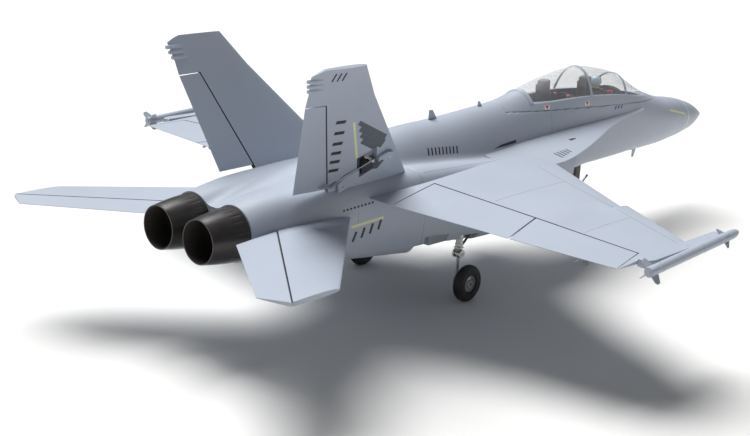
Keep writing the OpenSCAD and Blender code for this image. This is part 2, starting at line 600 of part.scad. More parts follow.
module tailplanes() color(skin) both_sides() tail_plane() 
    fixed_panel(TAIL, [-tail_tuck, 60, 140, 210, 278.5]);
// Inner edge of the tailplane, which stops short of the thrust tube
tail_tuck = 45.6 - tube_d / 2;
elevator_root = 2.5;
module elevator() moving_panel([
    slanted(line(TAIL, 0), elevator_root, 56),
    slanted(line(TAIL, 140), 140, 157),
    slanted(line(TAIL, 278.5), 278.5, 258)]);
module elevator_left() color(skin) tail_plane() elevator();
module elevator_right() color(skin) right_side() tail_plane() elevator();

module exhaust_nozzles() color(dark) both_sides() translate([X(tail_end_x), fan_y, fan_z])
    rotate([0, -90, 0])
    rotate_extrude($fn = 96)
        polygon([[nozzle_front_d / 2, 0.2], [nozzle_front_d / 2 + 0.8, 6], [nozzle_front_d / 2 - 0.5, 22],
        [nozzle_rim_d / 2, nozzle_length], [nozzle_rim_d / 2 - 2, nozzle_length],
            [nozzle_rim_d / 2 - 2, nozzle_length - 12],
        [nozzle_front_d / 2 - 2.5, 20], [tube_d / 2 + 0.3, 12], [tube_d / 2 + 0.3, 0.2]]);

// ---- Power ----

module thrust_tubes() color("silver") both_sides()
    translate([X(fan_x) - fan_length - 0.4, fan_y, fan_z]) rotate([0, -90, 0])
    rotate_extrude($fn = 96) let(h = X(fan_x) - fan_length - X(tail_end_x) + 10)
        polygon([[tube_d / 2 - tube_wall, 0], [tube_d / 2, 0], [tube_d / 2, h],
            [tube_d / 2 - tube_wall, h]]);

module fan_frame() translate([X(fan_x), fan_y, fan_z]) rotate([0, -90, 0]) children();
module fan_housings() color(dark) both_sides() fan_frame() {
    difference() {
        cylinder(d = fan_d, h = fan_length, $fn = 96);
        translate([0, 0, -1]) cylinder(d = fan_bore, h = fan_length + 2, $fn = 96);
    }
    // Stator vanes carry the motor sleeve
    difference() {
        translate([0, 0, 20]) cylinder(d = stator_hub_d, h = 26);
        translate([0, 0, 19]) cylinder(d = motor_d + 0.2, h = 28);
    }
    for (a = [0:72:288]) rotate([0, 0, a]) translate([motor_d / 2 + 1, -0.8, 24])
        cube([fan_bore / 2 - motor_d / 2 - 0.7, 1.6, 20]);
}
module fan_motors() color("silver") both_sides() fan_frame() {
    translate([0, 0, 17]) cylinder(d = motor_d, h = motor_length);
    translate([0, 0, 3]) cylinder(d = shaft_d, h = 15);
}
module fan_rotor() fan_frame() {
    difference() {
        union() {
            translate([0, 0, 2]) cylinder(d = stator_hub_d, h = 14);
            rotate([180, 0, 0]) translate([0, 0, -2.01]) rotate_extrude($fn = 64)
                polygon([[0, 0], [stator_hub_d / 2, 0], [stator_hub_d / 2 - 3, 8],
                    [stator_hub_d / 2 - 9, 14], [0, 17]]);
        }
        translate([0, 0, 2.8]) cylinder(d = shaft_d + 0.1, h = 20);
    }
    for (i = [0:blade_count - 1]) rotate([0, 0, i * 360 / blade_count])
        translate([stator_hub_d / 2 - 1, 0, 9])
        rotate([38, 0, 0]) translate([0, -5.5, -0.6])
            cube([fan_bore / 2 - rotor_tip_gap - stator_hub_d / 2 + 0.6, 11, 1.2]);
}
module fan_rotor_left() color(dark) fan_rotor();
module fan_rotor_right() color(dark) right_side() fan_rotor();

module battery() color("royalblue") translate([X(148), -23, tray_z + 0.5]) cube([165, 46, battery_h]);
module receiver() color(dark) translate([X(60), -13, 236]) cube([48, 26, 14]);
module speed_controllers() color("firebrick") for (x = [-120, -35]) translate([X(x), -12, 112])
    cube([72, 24, 12]);
module servos() color(dark) {
    both_sides() fin_plane() translate([servo_lx, servo_ly - servo_arm_w / 2, 0]) rotate([-90, 0, 0]) {
        translate([-17, -2.5, -19]) cube([23, 11, 18]);
        translate([0, 0, -1.5]) cylinder(d = 4.6, h = 1.3);
    }
}

module retract_units() color(dark) {
    both_sides() translate([X(main_pivot[0]) + 12, main_pivot[1] - 14, main_pivot[2] + 2])
        cube([36, 24, 17]);
    translate([X(nose_pivot[0]) - 62, -14, nose_pivot[2] - 4]) cube([48, 28, 16]);
}

module blade_antenna(x, z, h, l) translate([X(x), -1, z]) rotate([90, 0, 0]) mirror([0, 0, 1])
    linear_extrude(height = 2) polygon([[0, -3], [l, -3], [l * 0.35, h], [l * 0.05, h]]);
module antennas() color(skin) {
    blade_antenna(-153, 287, 17, 24);
    blade_antenna(-20, 296, 8, 12);
    translate([0, 0, 300]) mirror([0, 0, 1]) blade_antenna(512, 151, 22, 16);
}

// ---- Canopy hatch ----

// Half of the outline of the cockpit, from its rear end forward
COCKPIT = [[112, 22], [160, 31], [240, 36], [400, 35], [450, 29], [490, 18]];
module cockpit_outline() polygon([for (p = COCKPIT) [X(p[0]), p[1]],
    for (i = [len(COCKPIT) - 1:-1:0]) [X(COCKPIT[i][0]), -COCKPIT[i][1]]]);
module cockpit_opening(grow = 0) linear_extrude(height = 200) offset(delta = grow) cockpit_outline();

module canopy_hatch() color(skin) moulded() difference() {
    union() {
        core_slice(hatch_rear_x, glass_rear_x + 0.01, 5, 1, 9, 14);
        core_slice(glass_rear_x, hatch_front_x - seam_gap, 16, 1, 2, 6);
    }
    translate([0, 0, 200]) cockpit_opening();
}

tub_floor = 248;
tub_h = 16;
// Instrument hoods and rear shelf: x, length, half width, height above the tub's rim
HOODS = [[388, 26, 21, 26], [236, 24, 24, 28], [118, 30, 16, 24]];
module cockpit_tub() color(dark) translate([0, 0, tub_floor]) {
    difference() {
        linear_extrude(height = tub_h) offset(delta = -0.5) cockpit_outline();
        translate([0, 0, tub_wall]) linear_extrude(height = tub_h) offset(delta = -0.5 - tub_wall)
            cockpit_outline();
    }
    for (h = HOODS) translate([X(h[0]), -h[2], 0.1]) cube([h[1], 2 * h[2], tub_h + h[3]]);
}

// Seat seen from the side: pan and back in one, with a narrower headrest that leans back
module seat(x, top) translate([X(x), 0, tub_floor + tub_wall - 0.3])
    let(h = top - tub_floor - tub_wall) rotate([90, 0, 0]) {
    linear_extrude(height = 28, center = true)
        polygon([[-10, 0], [38, 0], [38, 11], [2, 12], [-4, h - 22], [-14, h - 22]]);
    linear_extrude(height = 20, center = true)
        polygon([[-15, h - 27], [-6, h - 27], [-3, h - 20], [-5, h], [-20, h - 3], [-21, h - 20]]);
}
module ejection_seats() color([0.32, 0.29, 0.27]) {
    seat(322, 318);
    seat(186, 325);
}

module pilot_figure() color([0.45, 0.5, 0.42]) translate([X(346), 0, tub_floor + tub_wall + 11.4]) {
    moulded() union() {
        hull() {
            translate([-6, -9, 0]) cube([20, 18, 4]);
            translate([-6, -13, 24]) cube([13, 26, 6]);
        }
        translate([1, 0, 33]) sphere(d = 10, $fn = 16);
        translate([2, 0, 43]) sphere(d = 23, $fn = 24);
        for (s = [-1, 1]) hull() {
            translate([2, s * 13, 26]) sphere(d = 8, $fn = 12);
            translate([24, s * 11, 8]) sphere(d = 6, $fn = 12);
        }
    }
}

module canopy_frame() color(skin) {
    skin_strip(378, 378 + bow_w, 2, 1.35, 1.25, 26);
    skin_strip(264, 264 + bow_w, 2, 1.35, 1.25, 8);
}
module canopy_glass() color([0.8, 0.85, 0.9, 0.3])
    skin_strip(glass_rear_x + 0.3, glass_front_x, 16, 0, glass_t, 0, 18);

// ---- Landing gear ----

nose_fork_z = 96;
module nose_leg() color(metal) translate([X(nose_pivot[0]), 0, 0]) difference() {
    union() {
        translate([0, 0, nose_pivot[2]]) rotate([90, 0, 0]) cylinder(d = 12, h = 24, center = true);
        translate([0, 0, nose_fork_z]) cylinder(d = nose_leg_d + 4, h = nose_pivot[2] - nose_fork_z);
        translate([4, -6, nose_fork_z + 2]) cube([4, 12, 46]);
    }
    translate([0, 0, nose_fork_z - 1]) cylinder(d = nose_leg_d + 0.1, h = 44);
}
module nose_fork() color(metal) translate([X(nose_pivot[0]), 0, 0]) {
    translate([0, 0, nose_axle_z]) cylinder(d = nose_leg_d, h = nose_fork_z + 40 - nose_axle_z);
    translate([0, 0, nose_fork_z - 14]) cylinder(d = nose_leg_d + 5, h = 12);
    translate([0, 0, nose_axle_z]) rotate([90, 0, 0]) cylinder(d = 11, h = 10, center = true);
    translate([0, 0, nose_axle_z]) rotate([90, 0, 0])
        cylinder(d = axle_d, h = 2 * nose_axle_half, center = true);
    // Launch bar and its bracket
    bar([3, 0, nose_fork_z - 12], [44, 0, nose_fork_z + 17], 4.5);
}
module nose_wheel_pair() for (s = [-1, 1])
    translate([X(nose_pivot[0]), s * (6.5 + nose_tyre_w / 2), nose_axle_z])
    rotate([90, 0, 0]) children();
module tyre(d, w, hub) rotate_extrude($fn = 96) polygon([[hub / 2, -w * 0.36], [hub / 2 + 2, -w / 2 + 0.4],
    [d / 2 - w * 0.45, -w / 2], [d / 2 - w * 0.2, -w * 0.42], [d / 2 - w * 0.05, -w * 0.25], [d / 2, 0],
    [d / 2 - w * 0.05, w * 0.25], [d / 2 - w * 0.2, w * 0.42], [d / 2 - w * 0.45, w / 2],
    [hub / 2 + 2, w / 2 - 0.4], [hub / 2, w * 0.36]]);
module hub(d, w) rotate_extrude($fn = 96)
    polygon([[axle_d / 2 + wheel_fit, -w * 0.42], [d * 0.2, -w * 0.42], [d * 0.24, -w * 0.2],
    [d * 0.4, -w * 0.16], [d * 0.44, -w * 0.35], [d / 2, -w * 0.35], [d / 2, w * 0.35],
        [d * 0.44, w * 0.35],
    [d * 0.4, w * 0.16], [d * 0.24, w * 0.2], [d * 0.2, w * 0.42], [axle_d / 2 + wheel_fit, w * 0.42]]);
nose_hub_d = nose_tyre_d * 0.44;
main_hub_d = main_tyre_d * 0.44;
module nose_tyres() color(dark) nose_wheel_pair() tyre(nose_tyre_d, nose_tyre_w, nose_hub_d);
module nose_hubs() color(metal) nose_wheel_pair() hub(nose_hub_d, nose_tyre_w);

knuckle = [main_pivot[0] + 4, main_pivot[1] + 2, main_knuckle_z];
module main_leg() translate([X(main_pivot[0]), main_pivot[1], 0]) {
    difference() {
        union() {
            // Trunnion along the tilted fold axis
            translate([0, 0, main_pivot[2]]) rotate([90 + main_fold_tilt, 0, 0])
                cylinder(d = leg_d + 2, h = trunnion_l, center = true);
            translate([0, 0, main_knuckle_z + 3])
                cylinder(d = leg_d, h = main_pivot[2] - main_knuckle_z - 3);
            translate([0, 0, main_knuckle_z]) rotate([90, 0, 0])
                cylinder(d = leg_d + 3, h = leg_d + 4, center = true);
        }
        // Gap between the ears that the lower link turns in
        translate([-12, -3.2, main_knuckle_z - 14]) cube([24, 6.4, 24]);
        translate([0, 0, main_knuckle_z]) rotate([90, 0, 0])
            cylinder(d = axle_d + 0.1, h = 40, center = true);
    }
    // Drag brace with its elbow
    bar([4, 0, main_pivot[2] - 4], [26, 0, main_knuckle_z + 26], 4.5);
    bar([26, 0, main_knuckle_z + 28], [6, 0, main_knuckle_z + 12], 4);
}
module main_link() translate([X(main_pivot[0]), main_pivot[1], 0]) {
    translate([0, 0, main_knuckle_z]) rotate([90, 0, 0]) cylinder(d = axle_d, h = leg_d + 5, center = true);
    translate([0, 0, main_knuckle_z]) rotate([90, 0, 0]) cylinder(d = leg_d, h = 6, center = true);
    bar([0, 0, main_knuckle_z - 2], [0, 0, main_axle_z + 3], 5);
    translate([0, 3, main_axle_z]) rotate([90, 0, 0]) cylinder(d = 12, h = 6);
    translate([0, 2, main_axle_z]) rotate([-90, 0, 0])
        cylinder(d = axle_d, h = main_wheel_dy + main_tyre_w * 0.42 - 3);
}
main_wheel_dy = main_track / 2 - main_pivot[1];
module main_wheel_place() translate([X(main_pivot[0]), main_track / 2, main_axle_z])
    rotate([90, 0, 0]) children();
module main_leg_left() color(metal) main_leg();
module main_leg_right() color(metal) right_side() main_leg();
module main_link_left() color(metal) main_link();
module main_link_right() color(metal) right_side() main_link();
module main_tyre_left() color(dark) main_wheel_place() tyre(main_tyre_d, main_tyre_w, main_hub_d);
module main_tyre_right() color(dark) right_side() main_wheel_place()
    tyre(main_tyre_d, main_tyre_w, main_hub_d);
module main_hub_left() color(metal) main_wheel_place() hub(main_hub_d, main_tyre_w);
module main_hub_right() color(metal) right_side() main_wheel_place() hub(main_hub_d, main_tyre_w);

nose_cone();
forward_fuselage();
centre_fuselage();
aft_fuselage();
lerx_strakes();
intake_ducts();
belly_cover();
wing_left();
wing_right();
tip_rails();
tip_missiles();
wing_pylons();
wing_missiles();
spar_tubes();
fin_left();
fin_right();
tailplanes();
exhaust_nozzles();
thrust_tubes();
fan_housings();
fan_motors();
speed_controllers();
battery();
receiver();
servos();
retract_units();
antennas();
cover_screws();
canopy_hatch();
cockpit_tub();
ejection_seats();
pilot_figure();
canopy_frame();
canopy_glass();
flap_left();
flap_right();
aileron_left();
aileron_right();
rudder_left();
rudder_right();
elevator_left();
elevator_right();
rudder_arm_left();
rudder_arm_right();
rudder_rod_left();
rudder_rod_right();
fan_rotor_left();
fan_rotor_right();
nose_leg();
nose_fork();
nose_tyres();
nose_hubs();
main_leg_left();
main_leg_right();
main_link_left();
main_link_right();
main_tyre_left();
main_tyre_right();
main_hub_left();
main_hub_right();
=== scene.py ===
# %% [markdown]
# # A foam model jet
# The finished looks of a radio-controlled twin-seat jet are built here around a packed
# engineering model. The foam mouldings are lofted afresh from their stations, smoother than
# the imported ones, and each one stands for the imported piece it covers. Small hardware keeps
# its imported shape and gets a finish.
# Sizes are in millimetres until a piece is made, and in metres after that.

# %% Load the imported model
import math

import bmesh
import bpy
import numpy as np
from mathutils import Matrix, Vector
from mathutils.bvhtree import BVHTree


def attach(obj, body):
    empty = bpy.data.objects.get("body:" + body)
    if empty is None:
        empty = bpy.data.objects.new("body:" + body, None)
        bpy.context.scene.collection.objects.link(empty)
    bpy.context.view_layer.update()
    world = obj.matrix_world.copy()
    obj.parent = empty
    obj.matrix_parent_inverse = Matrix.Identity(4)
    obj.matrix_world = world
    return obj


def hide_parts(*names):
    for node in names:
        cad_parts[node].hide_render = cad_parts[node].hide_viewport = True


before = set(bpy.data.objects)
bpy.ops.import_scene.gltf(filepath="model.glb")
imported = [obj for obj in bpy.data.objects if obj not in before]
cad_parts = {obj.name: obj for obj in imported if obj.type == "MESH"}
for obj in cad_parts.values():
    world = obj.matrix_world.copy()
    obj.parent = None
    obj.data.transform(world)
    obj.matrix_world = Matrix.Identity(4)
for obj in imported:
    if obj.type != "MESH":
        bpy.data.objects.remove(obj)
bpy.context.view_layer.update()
MM = 0.001
DATUM = 5
SIDES = ((1, "left"), (-1, "right"))
FAN_Y, FAN_Z = 44, 186

# %% [markdown]
# ## Shader sums
# A finish is a short piece of arithmetic on sockets: noise turned into colour, roughness and
# bump. One class wraps a socket, so that sums read as ordinary Python, and one method
# adds any other node.

# %% A socket that can be added and multiplied
class Sum:
    def __init__(self, finish, socket):
        self.finish = finish
        self.socket = socket

    def math(self, operation, *others):
        return self.finish.node("ShaderNodeMath", {"operation": operation},
            {0: self, **{i + 1: o for i, o in enumerate(others)}})

    def __add__(self, other):
        return self.math("ADD", other)

    def __mul__(self, other):
        return self.math("MULTIPLY", other)

    def __sub__(self, other):
        return self.math("SUBTRACT", other)

    def __rsub__(self, other):
        return self.finish.node("ShaderNodeMath", {"operation": "SUBTRACT"}, {0: other, 1: self})

    def __pow__(self, other):
        return self.math("POWER", other)

    __radd__ = __add__
    __rmul__ = __mul__


# %% A finish: one material and its nodes
class Finish:
    def __init__(self, name, **fixed):
        self.material = bpy.data.materials.new(name)
        self.material.use_nodes = True
        self.tree = self.material.node_tree
        self.shader = self.tree.nodes["Principled BSDF"]
        for socket, value in fixed.items():
            self.set(socket.replace("_", " "), value)
        self.place = self.node("ShaderNodeTexCoord", {}, {}, "Object")

    def node(self, kind, settings, values, output=0):
        made = self.tree.nodes.new(kind)
        for key, value in settings.items():
            if key == "stops":
                ramp = made.color_ramp.elements
                ramp[0].position, ramp[0].color = value[0]
                ramp[-1].position, ramp[-1].color = value[-1]
            else:
                setattr(made, key, value)
        for socket, value in values.items():
            if isinstance(value, Sum):
                self.tree.links.new(value.socket, made.inputs[socket])
            else:
                made.inputs[socket].default_value = value
        return Sum(self, made.outputs[output])

    def set(self, socket, value):
        if isinstance(value, Sum):
            self.tree.links.new(value.socket, self.shader.inputs[socket])
        else:
            self.shader.inputs[socket].default_value = value

    def noise(self, scale, detail=3.0, rough=0.5):
        return self.node("ShaderNodeTexNoise", {},
            {"Vector": self.place, "Scale": scale, "Detail": detail, "Roughness": rough})

    def ramp(self, value, low, high):
        return self.node("ShaderNodeValToRGB", {"stops": [(low, (0, 0, 0, 1)), (high, (1, 1, 1, 1))]},
            {0: value})

    def blend(self, share, first, second):
        return self.node("ShaderNodeMix", {"data_type": "RGBA"}, {0: share, 6: first, 7: second}, 2)

    def bump(self, height, depth, strength=1.0):
        self.set("Normal", self.node("ShaderNodeBump", {},
            {"Height": height, "Distance": depth, "Strength": strength}))


print("shader classes ready")

# %% [markdown]
# ## Painted foam
# The airframe is moulded from expanded foam beads and sprayed satin blue-grey. Under the
# paint the beads still show faintly, so a cell pattern about 3 mm across goes into the
# bump, with broad soft changes of tone and handling marks in the roughness.

# %% Foam paint in its tones
def tone(colour, k=1.0):
    return (colour[0] * k, colour[1] * k, colour[2] * k, 1.0)


def foam_paint(name, colour, rough=0.42):
    f = Finish(name, Roughness=rough, Specular_IOR_Level=0.4)
    broad = f.ramp(f.noise(6.0, 4.0), 0.3, 0.7)
    scuff = f.ramp(f.noise(55.0, 6.0, 0.65), 0.52, 0.78)
    f.set("Base Color", f.blend(scuff * 0.16, f.blend(broad, tone(colour, 0.965), tone(colour, 1.03)),
        tone(colour, 0.8)))
    f.set("Roughness", rough + scuff * 0.14)
    beads = f.node("ShaderNodeTexVoronoi", {"feature": "SMOOTH_F1"}, {"Vector": f.place, "Scale": 330.0})
    f.bump(beads * 0.6 + f.noise(900.0, 2.0) * 0.4, 0.00006, 0.5)
    return f.material


SKY_GREY = (0.43, 0.475, 0.555)
paint = foam_paint("foam_blue_grey", SKY_GREY)
# A darker copy of the foam paint, used on the missiles under the wings, is a painted shade.
painted_shade_paint = foam_paint("foam_blue_grey_painted_shade", (0.27, 0.295, 0.335))
print("foam paints:", paint.name, painted_shade_paint.name)

# %% [markdown]
# ## Plastics, rubber, metal and marks
# Everything else is small: black nozzle mouldings with rubbed edges, turned metal with
# fine scratches, soft tyres with dust in their grain, and flat coloured film marks.

# %% Helper for moulded, turned and printed finishes
def moulded(name, colour, rough, grain=400.0, depth=0.00004, metal=0.0, wear=0.12, light=1.6, **fixed):
    f = Finish(name, Metallic=metal, **fixed)
    mottle = f.ramp(f.noise(grain * 0.12, 5.0, 0.6), 0.35, 0.75)
    f.set("Base Color", f.blend(mottle * wear, tone(colour), tone(colour, light)))
    f.set("Roughness", rough + f.noise(grain * 0.3, 4.0) * 0.16 - 0.08)
    f.bump(f.noise(grain, 3.0), depth)
    return f.material


finishes = {
    "nozzle": moulded("nozzle_black", (0.022, 0.019, 0.018), 0.34, wear=0.5, light=2.4),
    "bore": moulded("nozzle_bore", (0.05, 0.045, 0.042), 0.45),
    "tube": moulded("thrust_tube", (0.16, 0.16, 0.165), 0.38),
    "rubber": moulded("tyre_rubber", (0.018, 0.018, 0.019), 0.62, 700.0, 0.0001, wear=0.4, light=2.6),
    "metal": moulded("turned_metal", (0.55, 0.55, 0.54), 0.32, 900.0, 0.00001, 1.0, 0.3, 0.6),
    "bright": moulded("plated_wire", (0.72, 0.72, 0.73), 0.22, 900.0, 0.00001, 1.0, 0.2, 0.7),
    "dark_metal": moulded("dark_strut", (0.09, 0.085, 0.08), 0.4, 900.0, 0.00002, 0.7, 0.4, 1.8),
    "white": moulded("white_nylon", (0.82, 0.82, 0.8), 0.35),
    "black": moulded("cockpit_black", (0.018, 0.018, 0.019), 0.6, wear=0.3, light=2.2),
    "case": moulded("moulded_case", (0.035, 0.035, 0.038), 0.45),
    "seat": moulded("seat_cloth", (0.16, 0.135, 0.12), 0.85, 1100.0, 0.0002, wear=0.5, light=1.5),
    "harness": moulded("harness_olive", (0.12, 0.13, 0.07), 0.85, 1100.0, 0.0002),
    "helmet": moulded("helmet_pale_blue", (0.47, 0.66, 0.76), 0.25, Coat_Weight=0.5),
    "visor": moulded("visor_dark", (0.02, 0.024, 0.03), 0.08, Coat_Weight=0.6),
    "yellow": moulded("film_yellow", (0.83, 0.8, 0.2), 0.45),
    "pale_yellow": moulded("film_pale_yellow", (0.72, 0.74, 0.44), 0.45),
    "red": moulded("film_red", (0.7, 0.035, 0.03), 0.45),
    "white_film": moulded("film_white", (0.8, 0.8, 0.8), 0.45),
    "blue": moulded("film_blue", (0.035, 0.045, 0.35), 0.45),
    "ink": moulded("film_black", (0.02, 0.021, 0.024), 0.5),
    "line": moulded("panel_line", (0.1, 0.11, 0.13), 0.6),
    "soft_line": moulded("panel_line_soft", (0.25, 0.275, 0.325), 0.6),
    # The hinge gap finish is a painted shade: the faces inside each hinge gap are painted dark.
    "gap": moulded("hinge_gap", (0.035, 0.038, 0.045), 0.7),
    "wrap": moulded("battery_wrap", (0.04, 0.1, 0.4), 0.3),
    "motor": moulded("motor_red", (0.5, 0.04, 0.03), 0.3, metal=0.6),
    "carbon": moulded("carbon_tube", (0.03, 0.03, 0.034), 0.3, Coat_Weight=0.3),
}
print("finishes:", len(finishes) + 2)

# %% [markdown]
# Clear plastic lets most light through and catches a little of it on its surface. Towards grazing
# angles its colour is painted paler and less clear, a painted reflection.

# %% Clear canopy
def clear_canopy():
    f = Finish("canopy_clear", Roughness=0.04, IOR=1.5)
    # Paler colour and more alpha at grazing angles are a painted reflection.
    edge = f.node("ShaderNodeLayerWeight", {}, {"Blend": 0.32}, "Facing")
    f.set("Base Color", f.blend(edge, (0.72, 0.76, 0.82, 1), (0.9, 0.93, 0.97, 1)))
    f.set("Alpha", (edge ** 2.2) * 0.62 + f.ramp(f.noise(70.0, 4.0), 0.55, 0.8) * 0.03 + 0.1)
    return f.material


finishes["glass"] = clear_canopy()

# %% [markdown]
# ## Shapes
# A shape collects points and faces in millimetres and turns into one Blender object at the
# end. Lofts join rings of equal length, lathes turn a profile, tubes run between points,
# and prisms raise an outline. A shape made for the port side is mirrored for the other.

# %% The shape builder
class Shape:
    def __init__(self, place=None):
        self.place = place or Matrix.Identity(4)
        self.points = []
        self.faces = []
        self.paints = []

    def add(self, points, faces, paint=0, flip=False):
        base = len(self.points)
        self.points += [self.place @ Vector(p) for p in points]
        for face in faces:
            ids = [base + i for i in face]
            self.faces.append(ids[::-1] if flip else ids)
            self.paints.append(paint)
        return self

    def loft(self, rings, caps="flat", paint=0, paints=None, loop=False):
        n = len(rings[0])
        points = [p for ring in rings for p in ring]
        base = len(self.faces)
        faces = []
        rows = len(rings) if loop else len(rings) - 1
        for j in range(rows):
            p, q = j * n, ((j + 1) % len(rings)) * n
            faces += [(p + i, p + (i + 1) % n, q + (i + 1) % n, q + i) for i in range(n)]
        self.add(points, faces, paint)
        if paints:
            for k in range(rows * n):
                self.paints[base + k] = paints(k // n, k % n)
        start = len(self.points) - len(points)
        if caps == "flat" and not loop:
            self.faces += [[start + i for i in range(n)][::-1],
                [start + (len(rings) - 1) * n + i for i in range(n)]]
            self.paints += [paint, paint]
        if caps in ("nose", "edge") and not loop:
            for row, flip in ((0, False), (len(rings) - 1, True)):
                self.zip_cap(start + row * n, n, caps == "nose", paint, flip)
        return self

    def zip_cap(self, first, n, pointed, paint, flip):
        a, b = (1, n - 1) if pointed else (0, n - 1)
        if pointed:
            self.faces.append([first, first + 1, first + n - 1])
            self.paints.append(paint)
        while b - a > 1:
            ids = [first + a, first + a + 1, first + b - 1, first + b] if b - a > 2 else [first + a,
                first + a + 1, first + b]
            self.faces.append(ids)
            self.paints.append(paint)
            a, b = a + 1, b - 1

    def lathe(self, at, axis, profile, sides=64, paint=0, paints=None, wave=None):
        turn = Vector((0, 0, 1)).rotation_difference(Vector(axis)).to_matrix().to_4x4()
        spot = Matrix.Translation(at) @ turn
        rings = []
        for k, (r, h) in enumerate(profile):
            ring = []
            for i in range(sides):
                a = 2 * math.pi * i / sides
                rr = max(r, 0.02) + (wave(k, a) if wave else 0)
                ring.append(spot @ Vector((rr * math.cos(a), rr * math.sin(a), h)))
            rings.append(ring)
        closed = profile[0] == profile[-1]
        if closed:
            rings = rings[:-1]
        return self.loft(rings, "flat", paint, paints, loop=closed)

    def tube(self, points, radius, sides=20, paint=0):
        points = [Vector(p) for p in points]
        rings = []
        side = None
        for i, p in enumerate(points):
            a, b = points[max(0, i - 1)], points[min(len(points) - 1, i + 1)]
            ahead = (b - a).normalized()
            side = side or ahead.orthogonal().normalized()
            side = (side - ahead * side.dot(ahead)).normalized()
            other = ahead.cross(side)
            r = radius[i] if isinstance(radius, (list, tuple)) else radius
            rings.append([p + (side * math.cos(t) + other * math.sin(t)) * r for t in [2 * math.pi
                * k / sides for k in range(sides)]])
        return self.loft(rings, "flat", paint)

    def prism(self, outline, low, high, plane="xy", chamfer=0.0, paint=0):
        spots = {"xy": lambda u, v, w: (u, v, w), "xz": lambda u, v, w: (u, w, v), "yz": lambda u, v,
            w: (w, u, v)}[plane]
        c = Vector((sum(p[0] for p in outline) / len(outline), sum(p[1] for p in outline) / len(outline)))
        steps = [(low, chamfer), (low + chamfer, 0), (high - chamfer, 0),
            (high, chamfer)] if chamfer else [(low, 0), (high, 0)]
        rings = []
        for w, inset in steps:
            ring = []
            for p in outline:
                v = Vector(p) - c
                k = max(0.0, 1 - inset * 1.2 / max(v.length, 0.01))
                ring.append(spots(c.x + v.x * k, c.y + v.y * k, w))
            rings.append(ring)
        return self.loft(rings, "flat", paint)

    def blob(self, centre, size, rows=20, sides=32, paint=0, shape=None):
        rings = []
        for j in range(1, rows):
            t = math.pi * j / rows
            ring = []
            for i in range(sides):
                a = 2 * math.pi * i / sides
                v = Vector((math.sin(t) * math.cos(a), math.sin(t) * math.sin(a), -math.cos(t)))
                k = shape(v) if shape else 1
                ring.append(Vector(centre) + Vector((v.x * size[0], v.y * size[1], v.z * size[2])) * k)
            rings.append(ring)
        return self.loft(rings, "flat", paint)

    def mirrored(self):
        other = Shape()
        other.points = [Vector((p.x, -p.y, p.z)) for p in self.points]
        other.faces = [list(reversed(f)) for f in self.faces]
        other.paints = list(self.paints)
        return other

    def object(self, name, paints, sharp=38):
        mesh = bpy.data.meshes.new(name)
        mesh.from_pydata([p * MM for p in self.points], [], self.faces)
        mesh.validate()
        for p in paints:
            mesh.materials.append(p)
        if len(mesh.polygons) == len(self.paints):
            mesh.polygons.foreach_set("material_index", self.paints)
        obj = bpy.data.objects.new(name, mesh)
        bpy.context.scene.collection.objects.link(obj)
        settle(obj, sharp)
        return obj


def settle(obj, sharp=38):
    edit = bmesh.new()
    edit.from_mesh(obj.data)
    bmesh.ops.remove_doubles(edit, verts=edit.verts, dist=0.000004)
    bmesh.ops.dissolve_degenerate(edit, edges=edit.edges, dist=0.000001)
    bmesh.ops.recalc_face_normals(edit, faces=edit.faces)
    for face in edit.faces:
        face.smooth = True
    for edge in edit.edges:
        edge.smooth = len(edge.link_faces) == 2 and edge.calc_face_angle(0) < math.radians(sharp)
    edit.to_mesh(obj.data)
    edit.free()


def handed(shape, side):
    return shape if side == 1 else shape.mirrored()


def piece(obj, body, slot, *nodes):
    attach(obj, body)
    if nodes:
        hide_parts(*nodes)
    return obj


def cut(obj, *tools, how="DIFFERENCE"):
    for tool in tools:
        change = obj.modifiers.new("cut", "BOOLEAN")
        change.operation = how
        change.object = tool
        change.solver = "EXACT"
        change.material_mode = "TRANSFER" if tool.data.materials else "INDEX"
        seen = bpy.context.evaluated_depsgraph_get()
        mesh = bpy.data.meshes.new_from_object(obj.evaluated_get(seen))
        obj.modifiers.clear()
        obj.data = mesh
        bpy.data.objects.remove(tool)
    settle(obj)
    return obj


print("shape builder ready")

# %% [markdown]
# ## Stations of the fuselage
# A foam fuselage is drawn from cross-sections. The core runs the whole length, and on each
# side of it a trunk carries the air from the intake to the fan. Each row of a table is one
# section, and smooth curves run between the rows.

# %% Tables of sections
CORE = [
    [-630, 158, 186, 216, 50, 2, 2], [-548, 146, 186, 236, 56, 2, 2], [-470, 130, 186, 250, 60, 2, 2.2],
    [-400, 115, 186, 262, 62, 2, 2.4], [-320, 104, 186, 274, 64, 2, 3], [-225, 97, 186, 285, 64, 2, 3.5],
    [-141, 96, 186, 288, 63, 2, 4], [-55, 97, 190, 293, 60, 2, 4], [43, 104, 200, 301, 56, 2, 3.6],
    [100, 112, 206, 313, 54, 2.1, 3.2], [180, 128, 212, 330, 53, 2.1, 2.8], [271, 143, 217, 339, 52, 2.1, 2.6],
    [340, 145, 217, 331, 52, 2.1, 2.5], [403, 146, 215, 315, 51.5, 2.1, 2.4], [460, 148, 211, 288, 50, 2.1,
        2.3],
    [513, 148, 207, 266, 47.5, 2.1, 2.2], [577, 149, 203, 248, 43.5, 2.1, 2.1], [619, 152, 200, 242, 39.5,
        2, 2],
    [652, 155, 197, 236, 35.5, 2, 2], [690, 160.5, 193.5, 226.5, 29.5, 2, 2], [713, 165, 192, 219, 25, 2, 2],
    [740, 173, 190, 207.5, 16, 2, 2], [760, 180.5, 188.5, 197, 8, 2, 2], [770, 184.5, 187.5, 191, 3.4, 2, 2],
    [775, 186.2, 187.2, 188.2, 1, 2, 2]]
